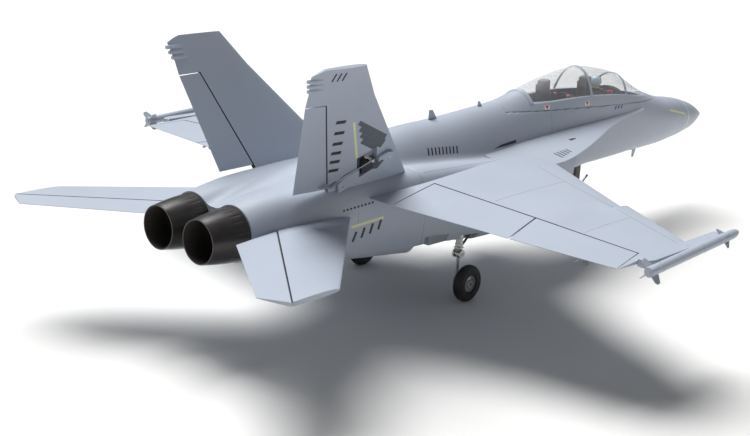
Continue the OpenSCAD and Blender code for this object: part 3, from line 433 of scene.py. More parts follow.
TRUNK = [
    [-630, 44, 43, 143, 186, 229, 2], [-590, 45, 44.5, 136, 186, 235, 2.2], [-548, 46.5, 46, 128, 186, 239,
        2.4],
    [-470, 50, 48, 117, 183, 241, 2.6], [-400, 54, 49, 108, 177, 242, 2.8], [-320, 59, 50, 101, 170, 241, 3],
    [-265, 62, 49.5, 96, 166, 238, 3.2], [-160, 66, 47, 94, 162, 231, 3.5], [-85, 70, 43, 94, 160, 225, 4],
    [20, 77, 36, 95, 158, 222, 4.5], [100, 81, 32, 97, 157, 219, 5], [170, 84, 29, 100, 157, 216, 5]]
DUCT = [[-190, 44, 186, 36, 36, 2], [-130, 52, 181, 34, 37, 2.2], [-40, 66, 169, 31, 41, 3],
    [60, 78, 160, 28, 48, 4], [180, 84, 158, 25, 53, 5]]
SEAM = [[20, 285, 300], [100, 280, 292], [250, 271, 290], [340, 265, 284], [403, 261, 277], [460, 257, 268],
    [520, 253, 261]]
STRAKE = [
    [-70, 116, 222, 219, 6], [-30, 130, 223, 216, 6.5], [10, 143, 225, 215, 6.5], [40, 147, 227, 216.5, 6.5],
    [68, 146, 229, 218.5, 6], [110, 138, 231, 222, 6], [158, 125, 233, 225.5, 5.5], [220, 105, 235.5, 229.5, 5],
    [285, 82, 238, 233, 4.5], [340, 68, 240.5, 237, 4], [400, 58, 243, 241, 3], [455, 51, 245, 244, 2]]
NOSE_JOINT, FRONT_JOINT, REAR_JOINT, TAIL_END = 640, 140, -280, -630
HATCH_REAR, HATCH_FRONT, GLASS_REAR, GLASS_FRONT = 26, 520, 96, 508


# %% [markdown]
# A smooth curve runs through the rows of a fuselage table. Panels use straight lines.

# %% Smooth and straight lines between the rows
def between(table, x):
    i = max(0, min(len(table) - 2, sum(1 for r in table[1:-1] if x > r[0])))
    return i, table[i + 1][0] - table[i][0]


def smooth(table, x):
    i, h = between(table, x)
    v = min(1.0, max(0.0, (x - table[i][0]) / h))

    def lean(j, k):
        a, b = max(0, j - 1), min(len(table) - 1, j + 1)
        return (table[b][k] - table[a][k]) / (table[b][0] - table[a][0])

    return [x] + [
        table[i][k] * (2 * v**3 - 3 * v**2 + 1) + lean(i, k) * h * (v**3 - 2 * v**2 + v)
        + table[i + 1][k] * (3 * v**2 - 2 * v**3) + lean(i + 1, k) * h * (v**3 - v**2)
        for k in range(1, len(table[0]))]


def straight(table, x):
    i, h = between(table, x)
    u = (x - table[i][0]) / h
    return [table[i][k] + u * (table[i + 1][k] - table[i][k]) for k in range(len(table[0]))]


def steps(a, b, n):
    return [a + (b - a) * i / n for i in range(n + 1)]


print("half width at the cockpit:", round(smooth(CORE, 300)[4], 1), "mm")

# %% [markdown]
# ## The hull mouldings
# Core and trunks flow into each other with a soft fillet, as one moulding does. A section
# is found by walking out from its middle until a blended distance to the core and to
# both trunks reaches zero, which gives even rings of points for a smooth skin.

# %% Blended sections
AROUND = 144
FILLET = 9.0
LINE_DEPTH = 0.5


def shell_distance(y, z, half, centre, up, down, round_up, round_down):
    above = z >= centre
    n = np.where(above, round_up, round_down)
    reach = np.where(above, up, down)
    g = (np.abs(y) / half) ** n + (np.abs(z - centre) / reach) ** n
    return (g ** (1 / n) - 1) * np.minimum(half, reach)


def hull_radius(x, angles, trunks, inset=0.0):
    core = smooth(CORE, x)
    middle = core[2]
    low, high = np.zeros(len(angles)), np.full(len(angles), 190.0)
    for _ in range(26):
        r = (low + high) / 2
        y, z = r * np.cos(angles), middle + r * np.sin(angles)
        d = shell_distance(y, z, core[4], core[2], core[3] - core[2], core[2] - core[1], core[5], core[6])
        if trunks:
            side = smooth(TRUNK, x)
            t = shell_distance(np.abs(y) - side[1], z, side[2], side[4], side[5] - side[4],
                side[4] - side[3], side[6], side[6])
            h = np.clip(0.5 + 0.5 * (t - d) / FILLET, 0, 1)
            d = t * (1 - h) + d * h - FILLET * h * (1 - h) * 0.9
        inside = d < -inset
        low, high = np.where(inside, r, low), np.where(inside, high, r)
    return low, middle


def hull_ring(x, trunks=False, lid=None, inset=0.0):
    angles = np.arange(AROUND) * 2 * math.pi / AROUND
    radius, middle = hull_radius(x, angles, trunks, inset)
    if lid is not None:
        rise = np.sin(angles)
        radius = np.where(rise > 0.01, np.minimum(radius, (lid - middle) / np.maximum(rise, 0.01)), radius)
    return [Vector((x + DATUM, r * math.cos(a), middle + r * math.sin(a))) for r, a in zip(radius, angles)]


def hull(stations, trunks=False, lid=False):
    rings = [hull_ring(x, trunks, smooth(SEAM, x)[1] if lid else None, inset) for x, inset in stations]
    return rings


def stations(a, b, n, open_start=True, open_end=True):
    """Places along the hull, with a fine bevel at each end that shows as a joint line."""
    inner = [(x, 0.0) for x in steps(a + 0.9, b - 0.9, n)]
    start = [(a, LINE_DEPTH), (a + 0.3, LINE_DEPTH * 0.6)] if open_start else [(a, 0.0)]
    end = [(b - 0.3, LINE_DEPTH * 0.6), (b, LINE_DEPTH)] if open_end else [(b, 0.0)]
    return start + inner + end


def box_tool(low, high):
    s = Shape()
    x, y = (low[0], high[0]), (low[1], high[1])
    s.prism([(x[0], y[0]), (x[1], y[0]), (x[1], y[1]), (x[0], y[1])], low[2], high[2])
    return s.object("tool", [])


def duct_tool(side, grow=0.0):
    rings = []
    for x in steps(-190.5, 180, 26):
        d = smooth(DUCT, x)
        ring = []
        for i in range(56):
            a = 2 * math.pi * i / 56
            c, n = math.cos(a), math.sin(a)
            p = (math.copysign(abs(c) ** (2 / d[5]), c), math.copysign(abs(n) ** (2 / d[5]), n))
            ring.append(Vector((x + DATUM, side * (d[1] + d[3] * p[0]), d[2] + d[4] * p[1])))
        rings.append(ring)
    return Shape().loft(rings).object("tool", [])


def round_tool(x0, x1, y, z, d):
    return Shape().lathe((x0, y, z), (1, 0, 0), [(d / 2, 0), (d / 2, x1 - x0)], 72).object("tool", [])


print("section points:", len(hull_ring(0, True)))

# %% [markdown]
# The outline of the cockpit is cut through the hatch and into the hull below it, and the
# nose and main wells are cut from below, where the wheels fold away.

# %% Nose, forward, centre and aft mouldings
COCKPIT = [(112, 22), (160, 31), (240, 36), (400, 35), (450, 29), (490, 18)]


def cockpit_outline(grow=0.0):
    right = [(x + DATUM, y + grow) for x, y in COCKPIT]
    right = [(right[0][0] - grow, right[0][1])] + right[1:-1] + [(right[-1][0] + grow, right[-1][1])]
    return right + [(x, -y) for x, y in reversed(right)]


def cockpit_tool(low, grow=0.0):
    return Shape().prism(cockpit_outline(grow), low, 380).object("tool", [])


nose = Shape().loft(hull(stations(NOSE_JOINT, 755, 34, True, False)) + [hull_ring(x) for x in (758, 762,
    766, 769, 771.5, 773.4, 774.6, 775)])
piece(nose.object("nose_shell", [paint]), "airframe", "grey_foam", "nose_cone")

forward_rings = hull([(x, i) for x, i in stations(FRONT_JOINT, HATCH_FRONT, 60, True, False)], lid=True)
forward_rings += hull(stations(HATCH_FRONT + 0.01, NOSE_JOINT - 0.1, 26, False, True))
forward = Shape().loft(forward_rings).object("forward_hull", [paint])
PIVOT = 315
cut(forward, box_tool((PIVOT - 16, -29.5, 90), (PIVOT + 159, 29.5, 199)),
    box_tool((144, -30, 204), (485, 30, 330)),
    cockpit_tool(247, 1.5), box_tool((PIVOT + 12, -24, 150), (PIVOT + 64, 24, 216)))
piece(forward, "airframe", "grey_foam", "forward_fuselage")

centre_rings = hull(stations(REAR_JOINT, HATCH_REAR - 0.5, 52, True, False), trunks=True)
centre_rings += hull([(x, 0.0) for x in steps(HATCH_REAR - 0.49, 60, 8)], trunks=True, lid=True)
centre_rings += hull([(x, 0.0) for x in steps(60.01, FRONT_JOINT - 1.0, 16)] + [(FRONT_JOINT - 0.1,
    LINE_DEPTH)], lid=True)
centre = Shape().loft(centre_rings).object("centre_hull", [paint])
WELL = (-161, 97, 118)
SWING = WELL[2] - 31.5
AFT_END = -SWING - 39.5


def well_tools(side):
    boxes = [((AFT_END, -36, -60), (-50, 8, 34)), ((AFT_END, -28, -60), (-50, 8, 39)),
        ((-106, 8, -60), (-46, 13, 11)),
        ((-SWING, -26, -60), (14, 8, 14)), ((-16, -16, -60), (36, 11, 13)), ((8, -15, 1), (49, 11, 20))]
    made = []
    for a, b in boxes:
        y = sorted((side * (WELL[1] + a[1]), side * (WELL[1] + b[1])))
        made.append(box_tool((WELL[0] + a[0], y[0], WELL[2] + a[2]), (WELL[0] + b[0], y[1], WELL[2] + b[2])))
    return made


for side in (1, -1):
    cut(centre, duct_tool(side), round_tool(-240, -184, side * FAN_Y, FAN_Z, 73.8),
        round_tool(-276, -236, side * FAN_Y, FAN_Z, 72.2),
        *well_tools(side))
cut(centre, box_tool((-270, -58, 80), (-145, 58, 98)), box_tool((45, -30, 235), (146, 30, 330)),
    cockpit_tool(247, 1.5))
piece(centre, "airframe", "grey_foam", "centre_fuselage")

aft = Shape().loft(hull(stations(TAIL_END, REAR_JOINT - 0.1, 72, False, True),
    trunks=True)).object("aft_hull", [paint])
cut(aft, round_tool(-626, -270, FAN_Y, FAN_Z, 72.2), round_tool(-626, -270, -FAN_Y, FAN_Z, 72.2),
    *well_tools(1), *well_tools(-1))
piece(aft, "airframe", "grey_foam", "aft_fuselage")
print("hull faces:", [len(o.data.polygons) for o in (forward, centre, aft)])

# %% [markdown]
# ## Strakes and intakes
# A long sharp-edged strake runs from beside the cockpit to the wing. Under it the intake is
# a rectangular trunk with a raked mouth and a thin lip.

# %% Strakes and intakes
def strake():
    rings = []
    for x in steps(-70, 455, 76):
        s = smooth(STRAKE, x)
        y0, y1 = 38, max(s[1], 40)
        upper, lower = [], []
        for i in range(15):
            u = i / 14
            y = y0 + (y1 - y0) * u
            mid = s[2] + (s[3] - s[2]) * u
            half = 0.45 + (s[4] - 0.45) * (1 - u**1.6)
            upper.append(Vector((x + DATUM, y, mid + half)))
            lower.append(Vector((x + DATUM, y, mid - half)))
        rings.append(upper[::-1] + lower)
    return Shape().loft(rings)


def intake():
    trunk = []
    for x, inset in [(60.0, 0.5), (60.5, 0)] + [(x, 0) for x in steps(61, 166, 22)]:
        t = smooth(TRUNK, x)
        ring = []
        for i in range(88):
            a = 2 * math.pi * i / 88
            c, n = math.cos(a), math.sin(a)
            w = t[5] - t[4] if n >= 0 else t[4] - t[3]
            ring.append(Vector((x + DATUM, t[1] + (t[2] - inset) * math.copysign(abs(c) ** (2 / t[6]), c),
                t[4] + (w - inset) * math.copysign(abs(n) ** (2 / t[6]), n))))
        trunk.append(ring)
    return Shape().loft(trunk)


left_strake, left_intake = strake(), intake()
piece(left_strake.object("strake_left", [paint]), "airframe", "grey_foam", "lerx_strakes")
piece(left_strake.mirrored().object("strake_right", [paint]), "airframe", "grey_foam")
rake = Matrix.Translation((170, 0, 222)) @ Matrix.Rotation(math.radians(14), 4, "Y")
for side, shape, name in ((1, left_intake, "intake_left"), (-1, left_intake.mirrored(), "intake_right")):
    trunk = shape.object(name, [paint])
    lip = Shape(rake).prism([(-22, -160), (58, -160), (58, 160), (-22, 160)], -200, 40).object("tool", [])
    cut(trunk, duct_tool(side), lip)
    piece(trunk, "airframe", "grey_foam", *(["intake_ducts"] if side == 1 else []))
print("intake faces:", len(trunk.data.polygons))

# %% [markdown]
# ## Flying surfaces
# Each wing, fin and tailplane is drawn flat in its own plane, with its hinge on the local Y
# axis, and then tilted into place. The fixed part ends in a hollow and the moving part
# begins with a round nose, so the surface can turn in a thin gap. The hollow and the nose
# are painted dark, a painted shade in that gap.

# %% Planes and sections
WING = [[95, 324, 95, 133, 95, 21], [355.2, 181, 355.2, 94.8, 355.2, 14.5],
    [356, 196, 356, 94.6, 356, 14.5], [513, 113.5, 513, 71.4, 513, 9]]
FIN = [[-8.7, 170.3, -82.2, 62.5, 18, 13], [170.5, 95.5, 134, 34.6, 184.8, 8.5],
    [235, 78.2, 201.5, 22.8, 245, 6.5]]
TAIL = [[-10, 123, -107.7, 60.3, 39, 12.5], [278.5, 68.2, 219.7, 42.8, 258, 7]]
HINGE_GAP = 0.8


def turned(x, y, z, tilt, sweep=0.0):
    return Matrix.Translation((x, y, z)) @ Matrix.Rotation(math.radians(tilt), 4,
        "X") @ Matrix.Rotation(math.radians(sweep), 4, "Z")


WING_PLANE = turned(-263, 0, 217.7, -2)
FIN_PLANE = turned(-476, 80, 238, 90 - 20.9, 23.3)
TAIL_PLANE = turned(-583, 90, 190, -1.5, 39.5)


def foil(c, t):
    return 0.35 + 5 * t * (0.2969 * math.sqrt(c) - 0.126 * c - 0.3516 * c * c + 0.2843 * c**3 - 0.1036 * c**4)


def depth(r, lx):
    return foil(min(1, max(0, (r[1] - lx) / (r[1] + r[3]))), r[5])


def spot(r, lx, z):
    y = r[0] + (r[2] - r[0]) * lx / r[1] if lx >= 0 else r[0] + (r[4] - r[0]) * -lx / r[3]
    return Vector((lx, y, z))


def fixed_ring(r, whole=False, n=26):
    h = depth(r, 0)
    g = h + HINGE_GAP
    lip = math.asin(h / g)
    edge = g * math.cos(lip)
    front = [r[1] + (edge - r[1]) * (i / n) ** 2 for i in range(1, n + 1)]
    ring = [spot(r, r[1], 0)] + [spot(r, lx, depth(r, max(lx, edge))) for lx in front]
    if whole:
        ring += [spot(r, -r[3] * i / 3, depth(r, -r[3] * i / 3)) for i in (1, 2)]
        ring += [spot(r, -r[3], z) for z in (0.35, 0, -0.35)]
        ring += [spot(r, -r[3] * i / 3, -depth(r, -r[3] * i / 3)) for i in (2, 1)]
    else:
        ring += [spot(r, g * math.cos(a), g * math.sin(a)) for a in [lip - lip * i / 4 for i in range(1, 8)]]
    return ring + [spot(r, lx, -depth(r, max(lx, edge))) for lx in reversed(front)]


def moving_ring(r, n=14, m=14):
    h = depth(r, 0)
    ring = [spot(r, -r[3], 0.35)] + [spot(r, -r[3] * i / n, depth(r, -r[3] * i / n)) for i in range(n - 1,
        0, -1)]
    ring += [spot(r, h * math.cos(a),
        h * math.sin(a)) for a in [math.pi / 2 - math.pi * i / m for i in range(m + 1)]]
    ring += [spot(r, -r[3] * i / n, -depth(r, -r[3] * i / n)) for i in range(1, n)]
    return ring + [spot(r, -r[3], -0.35)]


def slanted(r, v, w):
    return [v, r[1], r[2], r[3], w, r[5]]


# The round nose of a moving part and the hollow of a fixed part take the dark gap finish, a painted shade.
def is_nose(j, i):
    return 1 if 14 <= i < 28 else 0


def is_hollow(j, i):
    return 1 if 26 < i < 34 else 0


print("wing depth at the root:", round(2 * depth(WING[0], 100), 1), "mm")

# %% [markdown]
# A wing is one fixed panel. The flap and the aileron turn in the hollow along its rear
# edge.

# %% Wings, flaps and ailerons
FLAP_IN, FLAP_OUT, AILERON_OUT, SLANT, END_GAP = 117, 315, 497, 27, 1.5


def row(table, v, w=None):
    r = straight(table, v)
    return slanted(r, v, v if w is None else w)


def fixed(place, first, middle, last, table):
    rings = [fixed_ring(r, True) for r in first] + [fixed_ring(straight(table,
        v)) for v in middle] + [fixed_ring(r, True) for r in last]
    k = len(first)
    n = len(middle)
    return Shape(place).loft(rings, "nose", paints=lambda j, i: is_hollow(j, i) if k <= j < k + n - 1 else 0)


def moving(place, ends):
    rings = []
    for (a, b) in zip(ends, ends[1:]):
        for u in steps(0, 1, 6)[:-1]:
            rings.append(moving_ring([p + (q - p) * u for p, q in zip(a, b)]))
    rings.append(moving_ring(ends[-1]))
    return Shape(place).loft(rings, "edge", paints=is_nose)


FLAP_WALL = FLAP_IN - 2 * END_GAP
wing = fixed(WING_PLANE, [row(WING, 95, 95), row(WING, FLAP_WALL, FLAP_IN + SLANT - END_GAP)],
    [FLAP_WALL + 0.1, 160, 210, 260, 310, 355.2, 356, 410, 460, AILERON_OUT + END_GAP - 0.1],
    [row(WING, AILERON_OUT + END_GAP, 511.8), row(WING, 513)], WING)
flap = moving(WING_PLANE,
    [row(WING, FLAP_IN, FLAP_IN + SLANT), row(WING, 216, 216 + SLANT), row(WING, FLAP_OUT, FLAP_OUT + SLANT)])
start = FLAP_OUT + 2 * END_GAP
aileron = moving(WING_PLANE,
    [row(WING, start, start + SLANT), row(WING, 405, 405 + SLANT * 0.75), row(WING, AILERON_OUT, 510.5)])
fin = fixed(FIN_PLANE, [], [-8.7, 40, 100, 170.4], [row(FIN, 170.5, 184.5), row(FIN, 204), row(FIN, 235)], FIN)
rudder = moving(FIN_PLANE, [row(FIN, 2, 27), row(FIN, 85, 104), row(FIN, 169, 183)])
tail = fixed(TAIL_PLANE, [], [-10, 60, 140, 210, 278.5], [], TAIL)
elevator = moving(TAIL_PLANE, [slanted(straight(TAIL, 0), 2.5, 56), row(TAIL, 140, 157), row(TAIL, 278.5, 258)])
skins = [paint, finishes["gap"]]
surfaces = {"wing": wing, "flap": flap, "aileron": aileron, "fin": fin, "rudder": rudder, "tailplane": tail,
    "elevator": elevator}

# %% [markdown]
# The fins carry a root plate, a pocket where the rudder servo sits, and three little pods
# behind the trailing edge. The rudders carry their horns.

# %% Fin and rudder fittings
for v in (204, 213, 222):
    tip = Vector((30, 0, 0))
    turn = Matrix.Rotation(math.radians(-23.3), 4, "Z")
    base = Vector((-30, v + 8, 0))
    pod = Shape(FIN_PLANE @ Matrix.Translation(base) @ turn)
    pod.lathe((0, 0, 0), (1, 0, 0),
        [(0.1, 0), (2.2, 0.15), (2.9, 0.9), (3, 3), (3, 27), (2.4, 29.5), (1.2, 30)], 28)
    first = len(fin.points)
    fin.points += pod.points
    fin.faces += [[first + i for i in f] for f in pod.faces]
    fin.paints += pod.paints
plate = Shape(FIN_PLANE).prism([(18, -14), (130, -14), (130, 4), (118, 10), (30, 10), (18, 4)], -11, -6,
    chamfer=0.5)
pocket = Shape(FIN_PLANE).prism([(59, -6.4), (99, -6.4), (99, 29.6), (59, 29.6)], -13, 4)
horn = Shape(FIN_PLANE).prism([(-16, 1), (-5, 1), (4, -17.5), (-3, -18), (-16, -7)][::-1], 14.9, 16.5,
    plane="xz")
screw_heads = Shape(FIN_PLANE)
for x in (26, 122):
    screw_heads.lathe((x, -4, -11), (0, 0, -1),
        [(0.1, 0), (2.4, 0), (2.3, 0.5), (1.3, 0.8), (1.2, 0.3), (0.1, 0.3)], 20)
for side, name in SIDES:
    def sided(shape):
        return shape if side == 1 else shape.mirrored()

    for key, shape in surfaces.items():
        if key in ("fin", "rudder"):
            continue
        node = "tailplanes" if key == "tailplane" else f"{key}_{name}"
        body = f"{key}_{name}" if key in ("flap", "aileron", "elevator") else "airframe"
        obj = sided(shape).object(f"{key}_skin_{name}", skins)
        piece(obj, body, "grey_foam", *([node] if key != "tailplane" or side == 1 else []))
    fin_obj = cut(sided(fin).object(f"fin_skin_{name}", skins), sided(plate).object("tool", []), how="UNION")
    cut(fin_obj, sided(pocket).object("tool", []))
    piece(fin_obj, "airframe", "grey_foam", f"fin_{name}")
    rudder_obj = cut(sided(rudder).object(f"rudder_skin_{name}", skins), sided(horn).object("tool", []),
        how="UNION")
    piece(rudder_obj, f"rudder_{name}", "grey_foam", f"rudder_{name}")
    piece(sided(screw_heads).object(f"fin_screws_{name}", [finishes["bright"]]), "airframe", "steel_wire")

# %% [markdown]
# ## Canopy hatch
# The whole top of the cockpit lifts off for the battery. It is one moulding from the deck
# behind the seats to the windshield, with its inner faces painted black, a clear blown
# canopy, and three hoops over the joints.

# %% Hatch moulding, glass and hoops
def skin_point(core, angle, out=0.0):
    c, s = math.cos(angle), math.sin(angle)
    n = core[5] if s >= 0 else core[6]
    reach = core[3] - core[2] if s >= 0 else core[2] - core[1]
    return ((core[4] + out) * math.copysign(abs(c) ** (2 / n), c),
        core[2] + (reach + out) * math.copysign(abs(s) ** (2 / n), s))


def skin_angle(core, z):
    return math.asin(min(1, max(0, (z - core[2]) / (core[3] - core[2]))) ** (core[5] / 2))


def hatch_ring(x, whole, inset=0.0):
    core, seam = smooth(CORE, x), smooth(SEAM, x)
    a0 = skin_angle(core, seam[1] + 0.5)
    a1 = math.pi / 2 if whole else skin_angle(core, seam[2])
    arc = [skin_point(core, a0 + (a1 - a0) * i / 30, -inset) for i in range(31)]
    if whole:
        arc[-1] = (0.4, arc[-1][1])
    ring = arc + [(-y, z) for y, z in reversed(arc)]
    return [Vector((x + DATUM, y, z)) for y, z in ring]


hatch_rings = [hatch_ring(x, True, i) for x,
    i in [(HATCH_REAR, 0.5), (HATCH_REAR + 0.4, 0.1)] + [(x, 0) for x in steps(HATCH_REAR + 1, GLASS_REAR, 18)]]
hatch_rings += [hatch_ring(x, False, i) for x,
    i in [(x, 0) for x in steps(GLASS_REAR + 0.01, HATCH_FRONT - 1.2, 70)] + [(HATCH_FRONT - 0.5, 0.5)]]
hatch = Shape().loft(hatch_rings).object("hatch_moulding", [paint, finishes["black"]])
opening = Shape().prism(cockpit_outline(), 200, 380).object("tool", [finishes["black"]])
cut(hatch, opening)
piece(hatch, "hatch", "grey_foam", "canopy_hatch")


def strip(x0, x1, out, thick, lean=0.0, rows=4, sides=48, lift=0.0, rounded=False):
    rings = []
    for k in range(rows + 1):
        x = x0 + (x1 - x0) * k / rows
        core0, seam = smooth(CORE, x), smooth(SEAM, x)
        a = skin_angle(core0, seam[2] + lift)
        level = out - (0.5 if rounded and k in (0, rows) else 0)
        outer, inner = [], []
        for i in range(sides + 1):
            b = a + (math.pi - 2 * a) * i / sides
            xx = x + lean * math.sin(b)
            core = smooth(CORE, xx)
            c = skin_angle(core, seam[2] + lift)
            e = c + (math.pi - 2 * c) * i / sides
            outer.append(Vector((xx + DATUM, *skin_point(core, e, level))))
            inner.append(Vector((xx + DATUM, *skin_point(core, e, out - thick))))
        rings.append(outer + inner[::-1])
    return Shape().loft(rings, "edge")


glass = strip(GLASS_REAR + 0.3, GLASS_FRONT, 0, 1.2, rows=70, sides=56)
piece(glass.object("canopy_clear", [finishes["glass"]], 60), "hatch", "clear_canopy", "canopy_glass")
for k, (x, wide, lean) in enumerate([(378, 7, 26), (264, 7.5, 8)]):
    hoop = strip(x, x + wide, 1.3, 1.2, lean, 6, 64, rounded=True)
    piece(hoop.object(f"canopy_hoop_{k}", [paint]), "hatch", "grey_foam", *(["canopy_frame"] if k == 0 else []))
piece(strip(90, 98.5, 1.2, 1.15, 2, 5, 64, rounded=True).object("canopy_hoop_rear", [paint]), "hatch",
    "grey_foam")
print("glass thickness 1.2 mm, hoops 3")

# %% [markdown]
# ## Cockpit
# Inside is a thin black tub with rounded instrument hoods, side consoles with switch
# blocks, two padded seats and a small doll-like pilot with a helmet, dark visor and mask.

# %% Tub, hoods and consoles
FLOOR = 248
tub = Shape().prism(cockpit_outline(-0.5), FLOOR, FLOOR + 16).object("cockpit_tub_shell", [finishes["black"]])
cut(tub, Shape().prism(cockpit_outline(-1.7), FLOOR + 1.2, FLOOR + 30).object("tool", []))
piece(tub, "hatch", "cockpit_black", "cockpit_tub")
hoods = Shape()
for x, length, half, top in [(388, 26, 21, 26), (236, 24, 24, 28), (118, 30, 16, 24)]:
    rings = []
    for u in steps(0, 1, 6):
        h = 16 + top - 5 * u * u
        arch = [(-half, 0.4)] + [(-half * math.cos(t),
            (h - 9) + 9 * math.sin(t)) for t in [math.pi * i / 16 for i in range(17)]] + [(half, 0.4)]
        rings.append([Vector((x + DATUM + 0.5 + (length - 1) * u, y, FLOOR + z)) for y, z in arch])
    hoods.loft(rings)
piece(hoods.object("instrument_hoods", [finishes["black"]]), "hatch", "cockpit_black")
consoles, lamps = Shape(), Shape()
for side in (1, -1):
    for x0, x1 in ((170, 232), (264, 384)):
        consoles.prism([(x0, side * 20), (x1, side * 22), (x1, side * 31), (x0, side * 28.5)][::side],
            FLOOR + 1.3, FLOOR + 17, chamfer=0.8)
        for i in range(7):
            x = x0 + 8 + i * (x1 - x0 - 16) / 6
            consoles.prism([(x, side * 22), (x + 4, side * 22), (x + 4, side * 27), (x, side * 27)][::side],
                FLOOR + 16.5, FLOOR + 18.6, chamfer=0.5)
    lamps.lathe((241, side * 15, FLOOR + 39), (-0.3, 0, 1),
        [(0.1, 0), (3.2, 0), (3.2, 2.2), (2.2, 3.2), (0.1, 3.4)], 24)
    lamps.prism([(384, side * 6), (391, side * 6), (391, side * 19), (384, side * 19)][::side], FLOOR + 30,
        FLOOR + 35, chamfer=0.8)
lamps.prism([(256, -20), (263, -20), (263, 4), (256, 4)], FLOOR + 22, FLOOR + 33, chamfer=0.8)
lamps.prism([(330, -27), (342, -27), (342, -21), (330, -21)], FLOOR + 18, FLOOR + 24, chamfer=0.8)
lamps.lathe((386, -14, FLOOR + 24), (-1, 0, 0.2), [(0.1, 0), (4.5, 0), (4.5, 1.5), (3, 2.4), (0.1, 2.4)], 24)
piece(consoles.object("side_consoles", [finishes["case"]]), "hatch", "cockpit_black")
piece(lamps.object("red_controls", [finishes["red"]]), "hatch", "cockpit_black")

# %% [markdown]
# Each seat is a moulded shell with a headrest, seat faces and belts.

# %% Seats
for k, (x, top) in enumerate([(322, 318), (186, 325)]):
    h = top - FLOOR - 1.2
    x += DATUM
    shell = Shape(Matrix.Translation((x, 0, FLOOR + 0.9)))
    shell.prism([(-14, h - 22), (-10, 0), (38, 0), (38, 8), (0, 9), (-5, h - 22)][::-1], -14, 14,
        plane="xz", chamfer=0.9)
    shell.prism([(-21, h - 20), (-15, h - 27), (-6, h - 27), (-3.4, h - 20), (-5, h - 1),
        (-19, h - 3)][::-1], -10, 10, plane="xz", chamfer=1.6)
    for side in (1, -1):
        shell.tube([(-13, side * 12.6, 4), (-16.5, side * 12.6, h - 12)], 1.6, 12)
    piece(shell.object(f"seat_shell_{k}", [finishes["seat"]]), "hatch", "seat_brown",
        *(["ejection_seats"] if k == 0 else []))
    pads = Shape(Matrix.Translation((x, 0, FLOOR + 0.9)))
    pads.blob((17, 0, 8.6), (19, 11.5, 3.2), 16, 28)
    pads.blob((-1.5, 0, 28), (3.4, 11, 19), 16, 28)
    piece(pads.object(f"seat_pads_{k}", [finishes["harness"]]), "hatch", "seat_brown")
    belts = Shape(Matrix.Translation((x, 0, FLOOR + 0.9)))
    for y in (-5, 5):
        belts.prism([(1.4, 12), (2.8, 12), (1.2, 46), (-4.5, h - 21), (-5.6, h - 21), (0, 46)], y - 1.6,
            y + 1.6, plane="xz")
    piece(belts.object(f"seat_belts_{k}", [finishes["pale_yellow"]]), "hatch", "seat_brown")

# %% [markdown]
# The pilot is a small doll: a body, a helmet, a visor and a mask.

# %% Pilot figure
px = 346 + DATUM
pilot = Shape(Matrix.Translation((px, 0, FLOOR + 12.6)))


def torso(v):
    return 1 - 0.14 * v.z


pilot.blob((3, 0, 15), (9.5, 12.5, 17), 22, 32, 0, torso)
for side in (1, -1):
    pilot.tube([(2, side * 12, 26), (5, side * 15.5, 19), (12, side * 15, 11), (22, side * 11, 9)],
        [4.2, 4, 3.4, 2.6], 18)
    pilot.blob((24, side * 10.6, 9), (3.2, 2.8, 2.6), 12, 16, 1)
    pilot.tube([(8, side * 6, 3), (22, side * 7.5, 5), (33, side * 7, 1)], [5, 4.6, 3.6], 18)
pilot.lathe((1.5, 0, 29), (0.1, 0, 1),
    [(6.5, 0), (9.3, 0.6), (9.8, 2.2), (8.4, 3.6), (5.5, 4.2), (4, 4.2), (4, 0), (6.5, 0)], 36, 2)
piece(pilot.object("pilot_body", [finishes["harness"], finishes["seat"], finishes["yellow"]]), "hatch",
    "pilot_paint", "pilot_figure")
head = Shape(Matrix.Translation((px + 2, 0, FLOOR + 54)))


def helmet_shape(v):
    return 1.0 - (0.10 if v.z < -0.35 else 0.0) + 0.03 * max(0, -v.x)


head.blob((0, 0, 0.3), (11.2, 10.6, 11.2), 28, 44, 0, helmet_shape)
for side in (1, -1):
    head.lathe((-0.5, side * 9.4, -2.5), (0, side, 0),
        [(0.1, 0), (4.2, 0), (4.2, 1.0), (3.2, 1.7), (0.1, 1.8)], 28)
piece(head.object("pilot_helmet", [finishes["helmet"]], 30), "hatch", "pilot_paint")
face = Shape(Matrix.Translation((px + 2, 0, FLOOR + 54)))
rings = []
for j in range(11):
    t = math.radians(52 + 62 * j / 10)
    outer, inner = [], []
    for i in range(25):
        a = math.radians(-72 + 144 * i / 24)
        v = Vector((math.sin(t) * math.cos(a), math.sin(t) * math.sin(a), math.cos(t)))
        outer.append(Vector((v.x * 12.0, v.y * 11.4, 0.3 + v.z * 11.9)))
        inner.append(Vector((v.x * 10.8, v.y * 10.2, 0.3 + v.z * 10.8)))
    rings.append(outer + inner[::-1])
face.loft(rings, "edge")
piece(face.object("pilot_visor", [finishes["visor"]], 50), "hatch", "pilot_paint")
mask = Shape(Matrix.Translation((px + 2, 0, FLOOR + 54)))
mask.blob((8.2, 0, -6.2), (4.4, 4.6, 4.4), 16, 24)
mask.tube([(11, 0, -8), (13, -2, -12), (11, -5, -18), (7, -7, -23)], 1.5, 12)
piece(mask.object("pilot_mask", [finishes["case"]]), "hatch", "pilot_paint")
print("pilot helmet top at", FLOOR + 54 + 11.5, "mm")

# %% [markdown]
# ## Nozzles, rails and missiles
# The nozzles are black mouldings with shallow petals. Each wing tip ends in a rail with a
# missile beside it, and each wing carries three small missiles on pylons.

# %% Nozzles
def petals(k, a):
    groove = 0.5 + 0.5 * math.cos(24 * a)
    return -0.55 * groove**10 if 1 < k < 9 else 0.0


